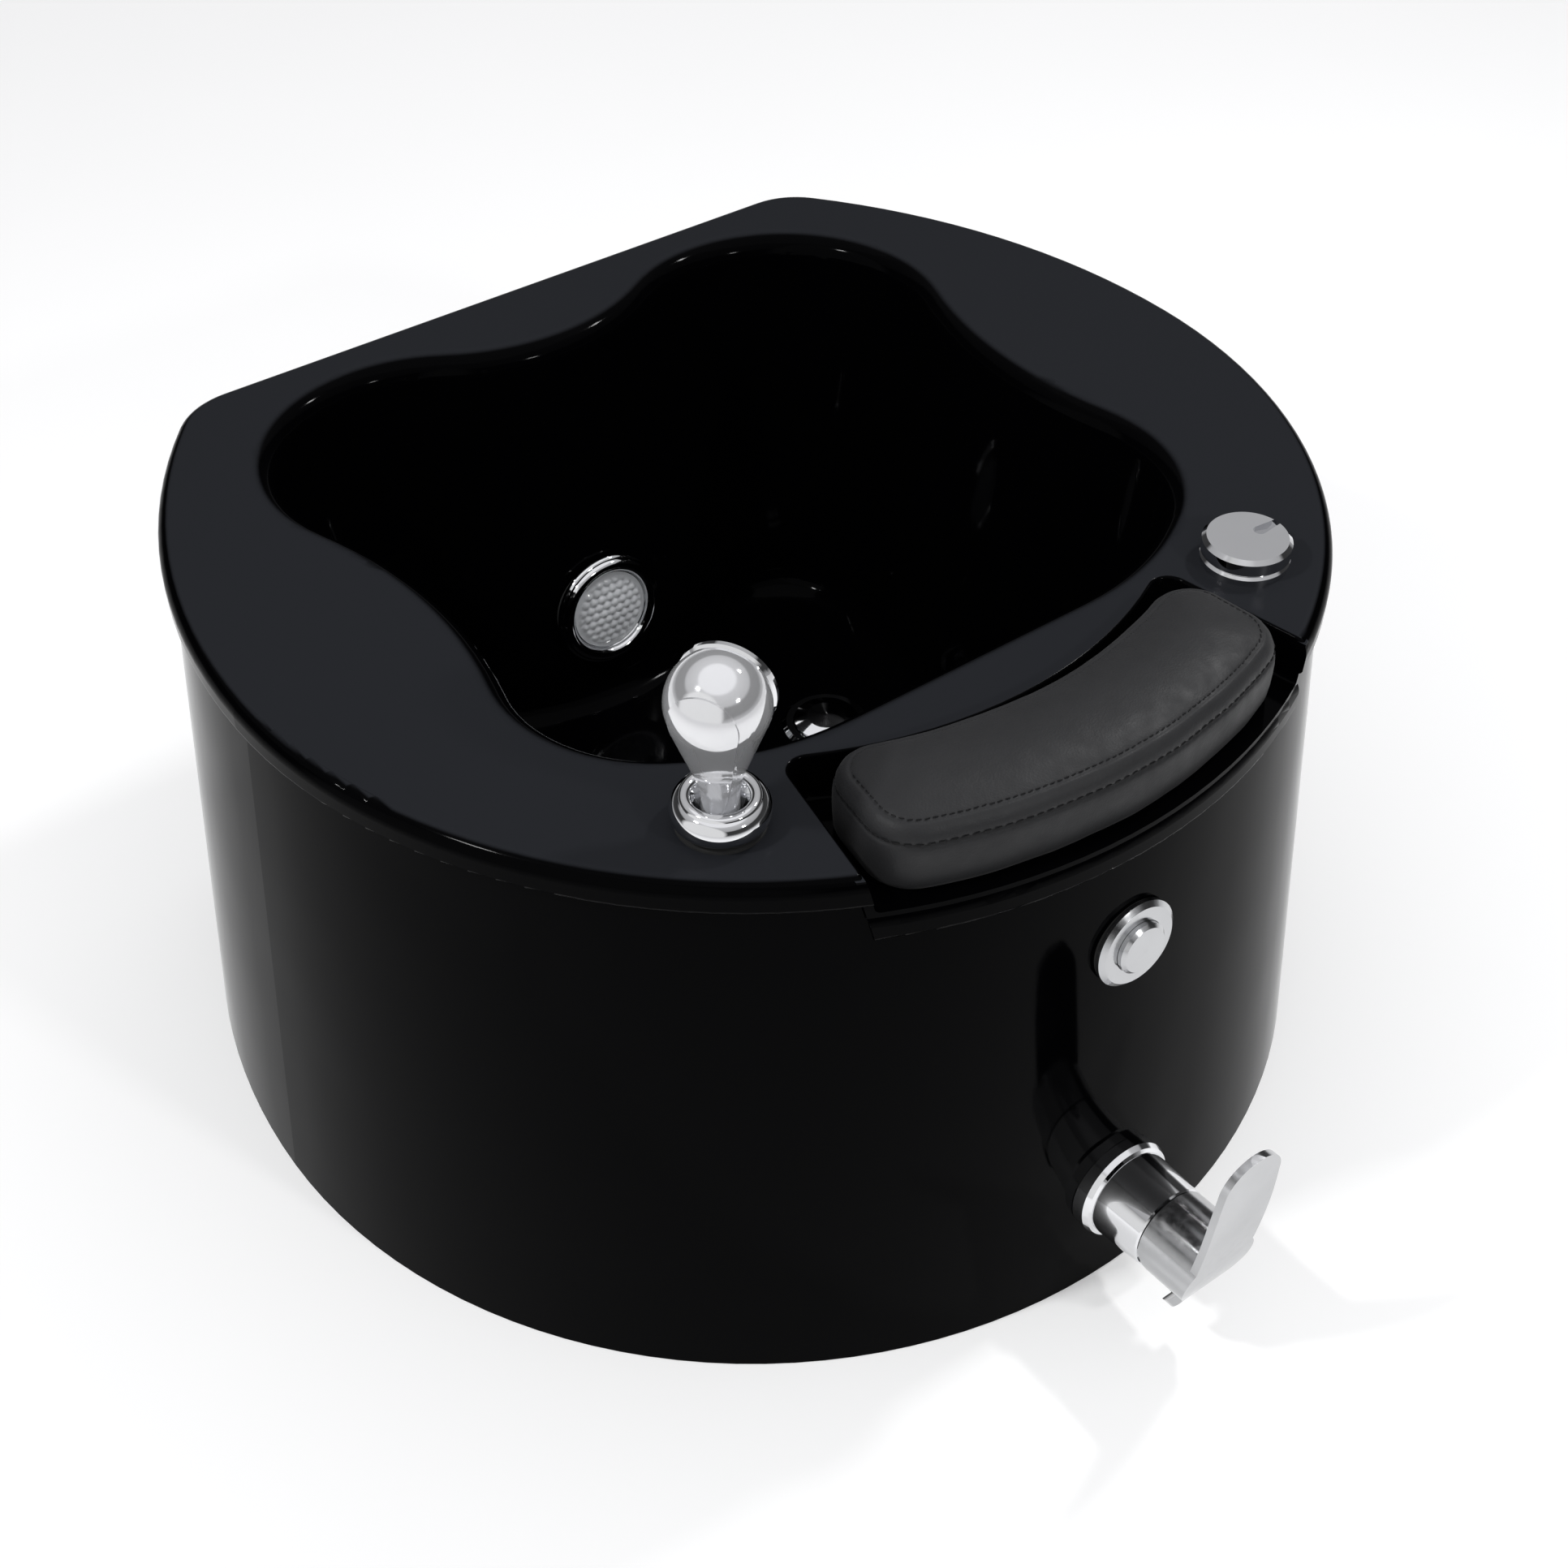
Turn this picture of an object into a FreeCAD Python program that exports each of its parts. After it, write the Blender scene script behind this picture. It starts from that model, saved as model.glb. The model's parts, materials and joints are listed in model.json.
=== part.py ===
import FreeCAD, Part
import math
import os

# Pedicure foot-spa basin: a D-shaped tub with a four-lobed bowl, a leather footrest and its water fittings.
# Millimetres. Z is up and 0 is the floor. X = 0 is the plane of symmetry. +Y is the flat back, -Y the round front.
# The origin lies on the floor, under the centre of the front arc.

V = FreeCAD.Vector
UP = V(0, 0, 1)
ORIGIN = V(0, 0, 0)

# Tub outline and heights
rim_height = 390.0
front_radius = 350.0
side_radius = 430.0
side_centre_x = front_radius - side_radius
back_distance = 289.0
corner_radius = 45.0
shell_wall = 5.0
lip_overhang = 8.0
lip_height = 20.0
lip_round = 9.0
lip_foot_round = 3.0
lip_wall = 3.8
skirt_top_inset = 2.7
skirt_flare = 30.5
skirt_back_flare = 8.5
skirt_wall = 5.0
beyond = 3 * front_radius

# Bowl: two lobes a side, as centre x, centre y and radius at the rim, joined by tangent arcs
back_lobe = (139.0, 154.0, 103.0)
front_lobe = (135.0, 253.0 - front_radius, 95.0)
waist_radius = 313.0
front_bend_radius = 182.0
bowl_front_y = 143.0 - front_radius
bowl_back_y = 216.0
bowl_draft = 38.0
bowl_floor_height = 100.0
bowl_floor_round = 24.0
rim_roll = 16.0

# Recess for the footrest
recess_depth = 26.0
recess_arc_centre_y = 23.0
recess_arc_radius = front_radius - 72.0
recess_end_x = 142.0
recess_end_y = 134.0 - front_radius
recess_end_slope = 0.186
recess_draft = 6.0
recess_corner_round = 12.0
recess_edge_round = 2.5
recess_floor_round = 4.0

# Footrest pad
pad_gap = 11.0
pad_front_radius = front_radius - 2.0
pad_end_x = 139.0
pad_end_y = 88.0 - front_radius
pad_end_slope = 0.138
pad_rear_corner = 27.0
pad_front_corner = 31.0
pad_seam_height = 33.0
pad_top_height = 44.0
pad_channel = 1.4
pad_crown = 6.0
pad_crown_radius = 190.0
pad_board_thickness = 8.0
pad_board_inset = 7.0
peg_radius = 5.0
peg_length = 13.0
peg_spread = 85.0
peg_arc_radius = front_radius - 30.0

# Base
board_thickness = 15.0
board_clearance = 0.6
post_radius = 20.0
post_wall = 4.0
post_foot_radius = 30.0
post_foot_thickness = 5.0
post_places = [(-110, -95), (110, -95), (-110, 105), (20, 140)]
bracket_angles = [-160, -125, -55, -20]
bracket_size = 34.0
bracket_width = 40.0
bracket_plate = 3.0
screw_radius = 2.5
screw_head_radius = 5.0
screw_head_height = 3.0
screw_length = 12.0
service_width = 300.0
service_height = 92.0
service_centre_x = 20.0

# Running and seating clearances
slip = 0.3
thread_gap = 0.15
pin_gap = 0.05
joint_gap = 1.0

# Hand shower on the left front of the rim
handset_angle = math.radians(-129.2)
handset_x = (front_radius - 41.5) * math.cos(handset_angle)
handset_y = (front_radius - 41.5) * math.sin(handset_angle)
shank_radius = 14.0
shank_length = 45.0
collar_radius = 27.5
collar_height = 20.0
collar_mouth_radius = 15.5
collar_washer_radius = 25.0
collar_washer_height = 1.5
neck_radius = 10.4
neck_bend_radius = 60.0
neck_flare_deg = 20.0
shank_bore = neck_radius + pin_gap
handset_head_radius = 28.0
handset_head_height = 82.0
handset_tail = 35.0
face_azimuth = 34.0
face_offset = 11.0
face_radius = 27.0
face_thickness = 6.0
nozzle_radius = 1.3
nozzle_height = 1.5
panel_rise = 1.0
panel_top_radius = 19.0
panel_bottom_radius = 6.5
panel_bottom_height = 14.0
panel_top_height = 82.0
ferrule_radius = 8.5
ferrule_length = 22.0
hose_radius = 6.5
riser_foot_height = 150.0

# Rotary drain knob on the right front of the rim
knob_angle = math.radians(-51.8)
knob_x = (front_radius - 44.5) * math.cos(knob_angle)
knob_y = (front_radius - 44.5) * math.sin(knob_angle)
knob_radius = 27.0
knob_height = 11.0
knob_base_height = 6.0
knob_barrel_radius = 13.0
knob_barrel_length = 40.0
knob_spindle_radius = 4.0
pulley_radius = 15.0
pulley_thickness = 6.0
finger_slot_length = 17.0
finger_slot_width = 8.0
finger_slot_depth = 5.0

# Air push button on the front wall
button_height = rim_height - 110.0
button_flange_radius = 28.5
button_flange_thickness = 5.0
button_barrel_radius = 20.0
button_bore = 17.0
button_barrel_length = 28.0
button_cap_proud = 5.0
button_gasket = 1.2
air_spigot_radius = 2.4
air_spigot_bore = 1.4
air_spigot_length = 14.0
air_tube_radius = 3.0

# Single-lever mixer low on the front wall
mixer_height = 77.0
escutcheon_radius = 34.0
escutcheon_thickness = 12.0
barrel_root_radius = 30.0
barrel_end_radius = 28.4
barrel_length = 48.0
cartridge_radius = 17.2
lever_pivot = 50.0
lever_lift_deg = 18.0
bonnet_radius = 21.0
bonnet_bore = 11.0
cap_radius = 28.0
cap_bore = 22.5
cap_bore_depth = 22.0
carrier_radius = 9.0
stem_radius = 4.0
lever_pin_radius = 2.0
blade_thickness = 5.0
blade_half_width = 23.5
blade_profile = [(56, -44), (76, -20), (86.5, 12), (94, 46), (99.5, 80), (104, 114)]
valve_radius = 22.0
valve_length = 50.0
port_radius = 9.0
port_reach = 40.0
tail_radius = 9.0
tail_spread = 12.0
tail_length = 12.0

# Underwater light on the back wall of the bowl
light_height = 176.0
light_bezel_radius = 43.0
light_lens_radius = 30.0
light_bezel_rise = 11.0
light_barrel_radius = 27.0
light_barrel_length = 34.0
light_backing = 4.5

# Drain in the right half of the bowl floor
drain_x = 105.0
drain_y = 55.0
drain_bore = 18.5
drain_tube_radius = 21.5
drain_flange_radius = 33.0
drain_flange_rise = 2.5
drain_tail_height = 76.0
plug_radius = 24.0
plug_stem_radius = 3.0
plug_seat_gap = 0.3
waste_radius = 17.0
waste_wall = 2.5
waste_height = 40.0
waste_bend = 28.0

# Connections at the back and the control box
connection_y = 283.0
inlet_height = 52.0
inlet_spacing = 70.0
inlet_centre_x = -60.0
inlet_radius = 10.5
inlet_bore = 7.5
inlet_stub = 26.0
inlet_tail = 20.0
bracket_y = connection_y - 33
hose_outer = 8.0
hose_inner = 5.5
hose_run = 90.0
box_x = -165.0
box_y = 175.0
box_length = 90.0
box_width = 62.0
box_depth = 46.0
box_wall = 3.0

recess_floor = rim_height - recess_depth
skirt_top = rim_height - shell_wall
skirt_tilt = math.degrees(math.atan(skirt_flare / skirt_top))


def skirt_grow(z):
    """How far the skirt's outer face stands outside the flat rim outline at height z."""
    return lip_overhang - lip_wall - skirt_top_inset + skirt_flare * (skirt_top - z) / skirt_top


def skirt_back_grow(z):
    """The same at the back, where the wall is almost upright."""
    return lip_overhang - lip_wall - skirt_top_inset + skirt_back_flare * (skirt_top - z) / skirt_top


def arc(a, b, c):
    return Part.Arc(a, b, c).toShape()


def on_circle(cx, cy, radius, direction, z):
    length = math.hypot(direction[0], direction[1])
    return V(cx + radius * direction[0] / length, cy + radius * direction[1] / length, z)


def d_wire(grow, back_grow, z):
    """D-shaped plan outline: a front semicircle, two flatter side arcs, two back corners and a straight back."""
    front = front_radius + grow
    side = side_radius + grow
    corner = corner_radius + grow
    back = back_distance + back_grow
    corner_y = back - corner
    corner_x = side_centre_x + math.sqrt((side - corner) ** 2 - corner_y ** 2)
    reach = (corner_x - side_centre_x, corner_y)
    side_end = on_circle(side_centre_x, 0, side, reach, z)
    side_mid = on_circle(side_centre_x, 0, side, (side + reach[0], reach[1] * 0.5), z)
    bend = (reach[0] / math.hypot(*reach), reach[1] / math.hypot(*reach) + 1)
    corner_mid = on_circle(corner_x, corner_y, corner, bend, z)
    corner_end = V(corner_x, back, z)
    edges = [arc(V(-front, 0, z), V(0, -front, z), V(front, 0, z))]
    edges.append(arc(V(front, 0, z), side_mid, side_end))
    edges.append(arc(side_end, corner_mid, corner_end))
    edges.append(Part.makeLine(corner_end, mirror_x(corner_end)))
    edges.append(arc(mirror_x(corner_end), mirror_x(corner_mid), mirror_x(side_end)))
    edges.append(arc(mirror_x(side_end), mirror_x(side_mid), V(-front, 0, z)))
    return Part.Wire(edges)


def mirror_x(p):
    return V(-p.x, p.y, p.z)


def prism(wire, height):
    return Part.Face(wire).extrude(V(0, 0, height))


def d_prism(grow, z0, z1):
    return prism(d_wire(grow, grow, z0), z1 - z0)


def tube(r_out, r_in, z0, z1):
    body = Part.makeCylinder(r_out, z1 - z0, V(0, 0, z0), UP)
    if r_in > 0:
        body = body.cut(Part.makeCylinder(r_in, z1 - z0, V(0, 0, z0), UP))
    return body


def disc(r, z0, z1):
    return tube(r, 0, z0, z1)


def hex_nut(across, r_in, z0, z1):
    """A hexagonal nut along Z, with its corners turned off."""
    corner = across / math.sqrt(3)
    points = [V(corner * math.cos(math.radians(60 * i)), corner * math.sin(math.radians(60 * i)), z0)
              for i in range(7)]
    nut = prism(Part.makePolygon(points), z1 - z0)
    nut = nut.common(disc(across * 0.56, z0, z1))
    return nut.cut(disc(r_in, z0, z1))


def turning_arc(a, b, c):
    """An arc to turn about Z: exact where it makes a ring, and a spline where its circle would cross the axis."""
    circle = Part.Circle(a, b, c)
    bend = Part.Arc(a, b, c)
    if circle.Center.x < circle.Radius:
        return bend.toBSpline().toShape()
    return bend.toShape()


def revolved(steps):
    """Turn a profile in the XZ half plane about Z. A step is a point (r, z), or an arc's (mid, end) pair."""
    edges = []
    here = V(steps[0][0], 0, steps[0][1])
    for step in steps[1:] + [steps[0]]:
        if isinstance(step[0], tuple):
            mid = V(step[0][0], 0, step[0][1])
            end = V(step[1][0], 0, step[1][1])
            edges.append(turning_arc(here, mid, end))
        else:
            end = V(step[0], 0, step[1])
            if end.distanceToPoint(here) > 1e-6:
                edges.append(Part.makeLine(here, end))
        here = end
    return Part.Face(Part.Wire(edges)).revolve(ORIGIN, UP, 360)


def heading(a, b):
    return math.atan2(b[1] - a[1], b[0] - a[0])


def mirrored(arcs):
    """The arcs of an outline's right half, carried over to its left half in the same turning sense."""
    return [(-x, y, radius, math.pi - end, math.pi - start) for x, y, radius, start, end in reversed(arcs)]


def chain_point(bend, angle, z, grow):
    """A point of an arc of an outline that has been moved outward by grow."""
    x, y, radius, start, end = bend
    reach = radius + grow if end > start else radius - grow
    return V(x + reach * math.cos(angle), y + reach * math.sin(angle), z)


def chain_ring(bends, z, grow):
    """The outline's edges at one height: its arcs, with a straight edge wherever two arcs don't meet."""
    edges = []
    for before, bend in zip(bends[-1:] + bends[:-1], bends):
        start, end = bend[3:]
        here = chain_point(before, before[4], z, grow)
        enter = chain_point(bend, start, z, grow)
        if here.distanceToPoint(enter) > 1e-4:
            edges.append(Part.makeLine(here, enter))
        edges.append(arc(enter, chain_point(bend, (start + end) / 2, z, grow), chain_point(bend, end, z, grow)))
    return edges


def chain_solid(bends, levels):
    """Stack an outline's sections. Levels are (height, grow); each wall is a cone about its own arc, or a plane."""
    faces = []
    for low, high in zip(levels, levels[1:]):
        for before, bend in zip(bends[-1:] + bends[:-1], bends):
            start, end = bend[3:]
            slope = Part.makeLine(chain_point(bend, start, *low), chain_point(bend, start, *high))
            faces.append(slope.revolve(V(bend[0], bend[1], 0), UP, math.degrees(end - start)))
            gap_low = chain_point(before, before[4], *low)
            gap_high = chain_point(before, before[4], *high)
            if gap_low.distanceToPoint(chain_point(bend, start, *low)) > 1e-4:
                faces.append(Part.makeRuledSurface(Part.makeLine(gap_low, chain_point(bend, start, *low)),
                                                   Part.makeLine(gap_high, chain_point(bend, start, *high))))
    faces += [Part.Face(Part.Wire(chain_ring(bends, *level))) for level in (levels[0], levels[-1])]
    shell = Part.makeShell([f for face in faces for f in face.Faces])
    shell.sewShape()
    body = Part.Solid(shell)
    body.fix(1e-6, 1e-6, 1e-3)
    return body


def edges_where(shape, test):
    return [e for e in shape.Edges if test(e)]


def flat_at(z):
    """True for an edge that lies level at height z."""
    return lambda e: abs(e.BoundBox.ZMin - z) < 1e-3 and abs(e.BoundBox.ZMax - z) < 1e-3


def at(shape, x, y, z=0.0):
    moved = shape.copy()
    moved.Placement = FreeCAD.Placement(V(x, y, z), FreeCAD.Rotation()).multiply(moved.Placement)
    return moved


def facing_front(shape, x, y, z, tilt):
    """Stand a part made along +Z on a wall, facing -Y and tilted up, with its own +Y pointing up."""
    moved = shape.copy()
    turn = FreeCAD.Rotation(V(1, 0, 0), 90 - tilt)
    moved.Placement = FreeCAD.Placement(V(x, y, z), turn).multiply(moved.Placement)
    return moved


def on_skirt(shape, height):
    return facing_front(shape, 0, -(front_radius + skirt_grow(height)), height, skirt_tilt)


def skirt_point(x, out, height):
    """Where a point of a fitting on the skirt lies: x to the side, and out along the fitting's axis."""
    turn = FreeCAD.Rotation(V(1, 0, 0), 90 - skirt_tilt)
    return V(0, -(front_radius + skirt_grow(height)), height) + turn.multVec(V(x, 0, out))


def route(name, points, radius, bore):
    """A round tube along straight runs joined by tangent arcs, each as large as its runs allow."""
    path = [V(*p) for p in points]
    edges = []
    start = path[0]
    radii = []
    for before, corner, after in zip(path, path[1:], path[2:]):
        run_in = corner - before
        run_out = after - corner
        turn = run_in.getAngle(run_out)
        reach = 0.45 * min(run_in.Length, run_out.Length)
        radii.append(reach / math.tan(turn / 2))
        enter = corner - run_in.normalize() * reach
        leave = corner + run_out.normalize() * reach
        inward = (leave - corner) + (enter - corner)
        inward.normalize()
        centre = corner + inward * math.hypot(radii[-1], reach)
        mid = centre - inward * radii[-1]
        edges.append(Part.makeLine(start, enter))
        edges.append(arc(enter, mid, leave))
        start = leave
    edges.append(Part.makeLine(start, path[-1]))
    spine = Part.Wire(edges)
    heading = path[1] - path[0]
    body = swept(spine, path[0], heading, radius).cut(swept(spine, path[0], heading, bore))
    section = math.pi * (radius ** 2 - bore ** 2)
    print("%s: %.0f mm long, volume by section %.0f, bend radii %s"
          % (name, spine.Length, section * spine.Length, " ".join("%.0f" % r for r in radii)))
    return body


def swept(spine, start, heading, radius):
    shell = Part.BRepOffsetAPI.MakePipeShell(spine)
    shell.add(Part.Wire(Part.makeCircle(radius, start, heading)))
    shell.build()
    shell.makeSolid()
    return shell.shape()


# Tub

def bowl_arcs():
    """The bowl's plan at the rim, counterclockwise: (centre x, centre y, radius, start angle, end angle).

    An arc that bulges out of the bowl turns counterclockwise, and one that bulges into it turns clockwise.
    """
    ax, ay, ar = back_lobe
    fx, fy, fr = front_lobe
    rise = bowl_back_y - ay
    dip_radius = (rise ** 2 + ax ** 2 - ar ** 2) / (2 * (ar - rise))
    dip = (0, bowl_back_y + dip_radius)
    span = math.hypot(ax - fx, ay - fy)
    along = ((fr + waist_radius) ** 2 - (ar + waist_radius) ** 2 + span ** 2) / (2 * span)
    across = math.sqrt((fr + waist_radius) ** 2 - along ** 2)
    step = ((ax - fx) / span, (ay - fy) / span)
    waist = (fx + step[0] * along + step[1] * across, fy + step[1] * along - step[0] * across)
    bend_y = bowl_front_y + front_bend_radius
    bend_x = fx - math.sqrt((front_bend_radius - fr) ** 2 - (bend_y - fy) ** 2)

    bend_end = heading((bend_x, bend_y), (fx, fy))
    lobe_end = heading((fx, fy), waist)
    waist_end = heading(waist, (ax, ay))
    back_end = heading((ax, ay), dip)
    dip_half = heading(dip, (ax, ay)) + math.pi / 2
    right = [(bend_x, bend_y, front_bend_radius, -math.pi / 2, bend_end), (fx, fy, fr, bend_end, lobe_end),
             (waist[0], waist[1], waist_radius, lobe_end + math.pi, waist_end % (2 * math.pi)),
             (ax, ay, ar, waist_end - math.pi, back_end)]
    back = (dip[0], dip[1], dip_radius, -math.pi / 2 + dip_half, -math.pi / 2 - dip_half)
    return right + [back] + mirrored(right)


def bowl_inset(z):
    """How far the drafted wall at height z stands inside the rim outline."""
    return bowl_draft * (rim_height - z) / (rim_height - bowl_floor_height)


def bowl_solid(z0, z1, grow, floor_round):
    body = chain_solid(bowl_arcs(), [(z0, grow - bowl_inset(z0)), (z1, grow - bowl_inset(z1))])
    return body.makeFillet(floor_round, edges_where(body, flat_at(z0)))


def bowl_wall_y(z):
    """Where the bowl's back wall stands on the plane of symmetry."""
    return bowl_back_y - bowl_inset(z)


light_tilt = math.degrees(math.atan(bowl_draft / (rim_height - bowl_floor_height)))


def on_bowl_back(shape):
    return facing_front(shape, 0, bowl_wall_y(light_height), light_height, light_tilt)


def lipped_deck(top, wall):
    """A plate with a rounded lip that hangs over the skirt, open from below."""
    slab = d_prism(lip_overhang, top - lip_height, top)
    slab = slab.makeFillet(lip_round, edges_where(slab, flat_at(top)))
    slab = slab.makeFillet(lip_foot_round, edges_where(slab, flat_at(top - lip_height)))
    return slab.cut(d_prism(lip_overhang - wall, top - lip_height, top - shell_wall))


class SlantedEnd:
    """The straight right end of a kidney outline, and the arcs that touch it."""

    def __init__(self, x, y, slope):
        size = math.hypot(1, slope)
        self.normal = (1 / size, slope / size)
        self.along = (slope / size, -1 / size)
        self.distance = (x + slope * y) / size
        self.heading = math.atan2(slope, 1)

    def corner(self, radius, run):
        """Centre of an arc that touches the end line from inside, run along the line."""
        depth = self.distance - radius
        return (self.normal[0] * depth + self.along[0] * run, self.normal[1] * depth + self.along[1] * run)

    def rear_corner(self, radius, rear_radius):
        """Centre of the arc that touches the end line and the rear arc."""
        offset = self.distance - radius - self.normal[1] * recess_arc_centre_y
        run = math.sqrt((rear_radius + radius) ** 2 - offset ** 2)
        return self.corner(radius, self.along[1] * recess_arc_centre_y + run)

    def front_corner(self, radius, front):
        """Centre of the arc that touches the end line and a front arc about the origin."""
        return self.corner(radius, math.sqrt((front - radius) ** 2 - (self.distance - radius) ** 2))


def rear_bend(rear, corner_r, rear_radius, end):
    """The right rear corner and the long rear arc of a kidney outline."""
    turn = heading((0, recess_arc_centre_y), rear)
    return ([(rear[0], rear[1], corner_r, end.heading, turn + math.pi)],
            [(0, recess_arc_centre_y, rear_radius, turn, -math.pi - turn)])


def recess_arcs():
    """The footrest recess: an arc along the bowl, two slanted ends and a front well outside the tub."""
    end = SlantedEnd(recess_end_x, recess_end_y, recess_end_slope)
    rear = end.rear_corner(recess_corner_round, recess_arc_radius)
    front = end.corner(recess_corner_round, front_radius + 2 * skirt_flare)
    corner, middle = rear_bend(rear, recess_corner_round, recess_arc_radius, end)
    right = [(front[0], front[1], recess_corner_round, -math.pi / 2, end.heading)] + corner
    return right + middle + mirrored(right)


def recess_block(z0, z1, grow):
    """The recess as a solid, drawn in by its draft towards the floor."""
    draft = recess_draft / recess_depth
    return chain_solid(recess_arcs(), [(z0, grow - draft * (rim_height - z0)), (z1, grow - draft * (rim_height - z1))])


def recess_edge(e):
    """True for the level edges where the recess leaves the deck."""
    box = e.BoundBox
    return flat_at(rim_height)(e) and box.YMax < recess_end_y and max(-box.XMin, box.XMax) < recess_end_x + 20


def bowl_edge_at(z):
    """True for the level edges that run round the bowl at height z."""
    limit = front_radius - 80

    def test(e):
        return (flat_at(z)(e) and e.BoundBox.XMax < limit and e.BoundBox.XMin > -limit
                and e.BoundBox.YMax < back_distance - 15 and e.BoundBox.YMin > -front_radius + 80)
    return test


def basin_shell():
    deck = lipped_deck(rim_height, lip_wall)
    outer = bowl_solid(bowl_floor_height - shell_wall, skirt_top + 2, shell_wall, bowl_floor_round + shell_wall)
    body = deck.fuse(outer)
    root = edges_where(body, bowl_edge_at(skirt_top))
    body = body.makeFillet(rim_roll, root)
    body = body.cut(bowl_solid(bowl_floor_height, rim_height + 10, 0, bowl_floor_round))
    body = body.makeFillet(rim_roll, edges_where(body, bowl_edge_at(rim_height)))
    inside_lip = d_prism(lip_overhang - lip_wall / 2, recess_floor - shell_wall, rim_height - 2)
    tray = recess_block(recess_floor - shell_wall, rim_height - 2, shell_wall).common(inside_lip)
    ledge_wall = lip_overhang - skirt_grow(recess_floor - lip_height) - slip
    ledge = lipped_deck(recess_floor, ledge_wall)
    ledge = ledge.common(recess_block(recess_floor - lip_height, rim_height, shell_wall))
    body = body.fuse([tray, ledge])
    recess = recess_block(recess_floor, rim_height + 10, 0)
    recess = recess.makeFillet(recess_floor_round, edges_where(recess, flat_at(recess_floor)))
    body = body.cut(recess)
    body = body.makeFillet(recess_edge_round, edges_where(body, recess_edge))
    holes = [at(disc(shank_radius + slip, recess_floor, rim_height), handset_x, handset_y)]
    holes.append(at(disc(knob_barrel_radius + slip, recess_floor, rim_height), knob_x, knob_y))
    holes.append(at(disc(drain_tube_radius + slip, 80, 120), drain_x, drain_y))
    holes.append(on_bowl_back(disc(light_barrel_radius + slip, -20, 20)))
    for x, y in peg_places():
        holes.append(at(disc(peg_radius + slip, recess_floor - 10, recess_floor + 2), x, y))
    return body.cut(holes).removeSplitter()


def skirt_solid(inset):
    """The skirt's outer form, drawn in by inset: cones at the front and sides, and a steep flat back."""
    half = math.atan2(back_distance + 60, math.sqrt(side_radius ** 2 - (back_distance + 60) ** 2))
    bends = [(side_centre_x, 0, side_radius, 0, half), (-side_centre_x, 0, side_radius, math.pi - half, math.pi),
             (0, 0, front_radius, math.pi, 2 * math.pi)]
    body = chain_solid(bends, [(0, skirt_grow(0) - inset), (skirt_top, skirt_grow(skirt_top) - inset)])
    low = V(-beyond, back_distance + skirt_back_grow(0) - inset, 0)
    high = V(-beyond, back_distance + skirt_back_grow(skirt_top) - inset, skirt_top)
    behind = [low, V(-beyond, beyond, 0), V(-beyond, beyond, skirt_top), high, low]
    body = body.cut(Part.Face(Part.makePolygon(behind)).extrude(V(2 * beyond, 0, 0)))
    corners = edges_where(body, lambda e: e.BoundBox.ZLength > skirt_top - 1 and e.BoundBox.YMin > 200)
    return body.makeFillet(corner_radius - inset, corners)


def outer_skirt():
    body = skirt_solid(0).cut(skirt_solid(skirt_wall))
    notch = recess_block(recess_floor - lip_height + 2, rim_height, shell_wall + slip)
    notch = notch.common(Part.makeBox(2 * beyond, beyond, beyond, V(-beyond, -beyond, recess_floor - shell_wall)))
    body = body.cut(notch)
    body = body.cut(on_skirt(disc(button_barrel_radius + slip, -30, 30), button_height))
    body = body.cut(on_skirt(disc(valve_radius + slip, -30, 30), mixer_height))
    opening = Part.makeBox(service_width, 60, service_height * 2, V(-service_width / 2, 270, -service_height))
    opening = opening.makeFillet(18, edges_where(opening, lambda e: e.BoundBox.YLength > 50
                                                 and e.BoundBox.ZMin > 0))
    return body.cut(at(opening, service_centre_x, 0))


# Footrest

def peg_places():
    return [(x, -math.sqrt(peg_arc_radius ** 2 - x ** 2)) for x in (-peg_spread, peg_spread)]


def pad_arcs():
    """The footrest's kidney plan: a long front arc, four corners, two slanted ends and a rear arc bent the same way."""
    end = SlantedEnd(pad_end_x, pad_end_y, pad_end_slope)
    rear_radius = recess_arc_radius + pad_gap
    fore = end.front_corner(pad_front_corner, pad_front_radius)
    rear = end.rear_corner(pad_rear_corner, rear_radius)
    front_end = heading((0, 0), fore)
    corner, middle = rear_bend(rear, pad_rear_corner, rear_radius, end)
    right = [(fore[0], fore[1], pad_front_corner, front_end, end.heading)] + corner
    return right + middle + mirrored(right) + [(0, 0, pad_front_radius, -math.pi - front_end, front_end)]


def footrest_cover():
    """Drawn in at its foot, bulging at its sides, with two sewn channels round it and a crowned top."""
    seam = pad_seam_height
    top = pad_top_height
    levels = [(0.4, -6.0), (7, -2.2), (20, -0.4), (seam - 1.2, 0), (seam, -pad_channel), (seam + 1.2, -0.4),
              (top - 5, -2.0), (top - 1.2, -3.0), (top, -3.0 - pad_channel), (top + 1.2, -4.4), (top + 9, -13.0)]
    body = chain_solid(pad_arcs(), [(recess_floor + z, grow) for z, grow in levels])
    middle = (pad_front_radius + recess_arc_radius + pad_gap - recess_arc_centre_y) / 2
    half = 70
    drop = pad_crown_radius - math.sqrt(pad_crown_radius ** 2 - half ** 2)
    crest = recess_floor + top + pad_crown
    crown = revolved([(middle - half, recess_floor), (middle + half, recess_floor), (middle + half, crest - drop),
                      ((middle, crest), (middle - half, crest - drop))])
    return body.common(crown)


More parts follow.
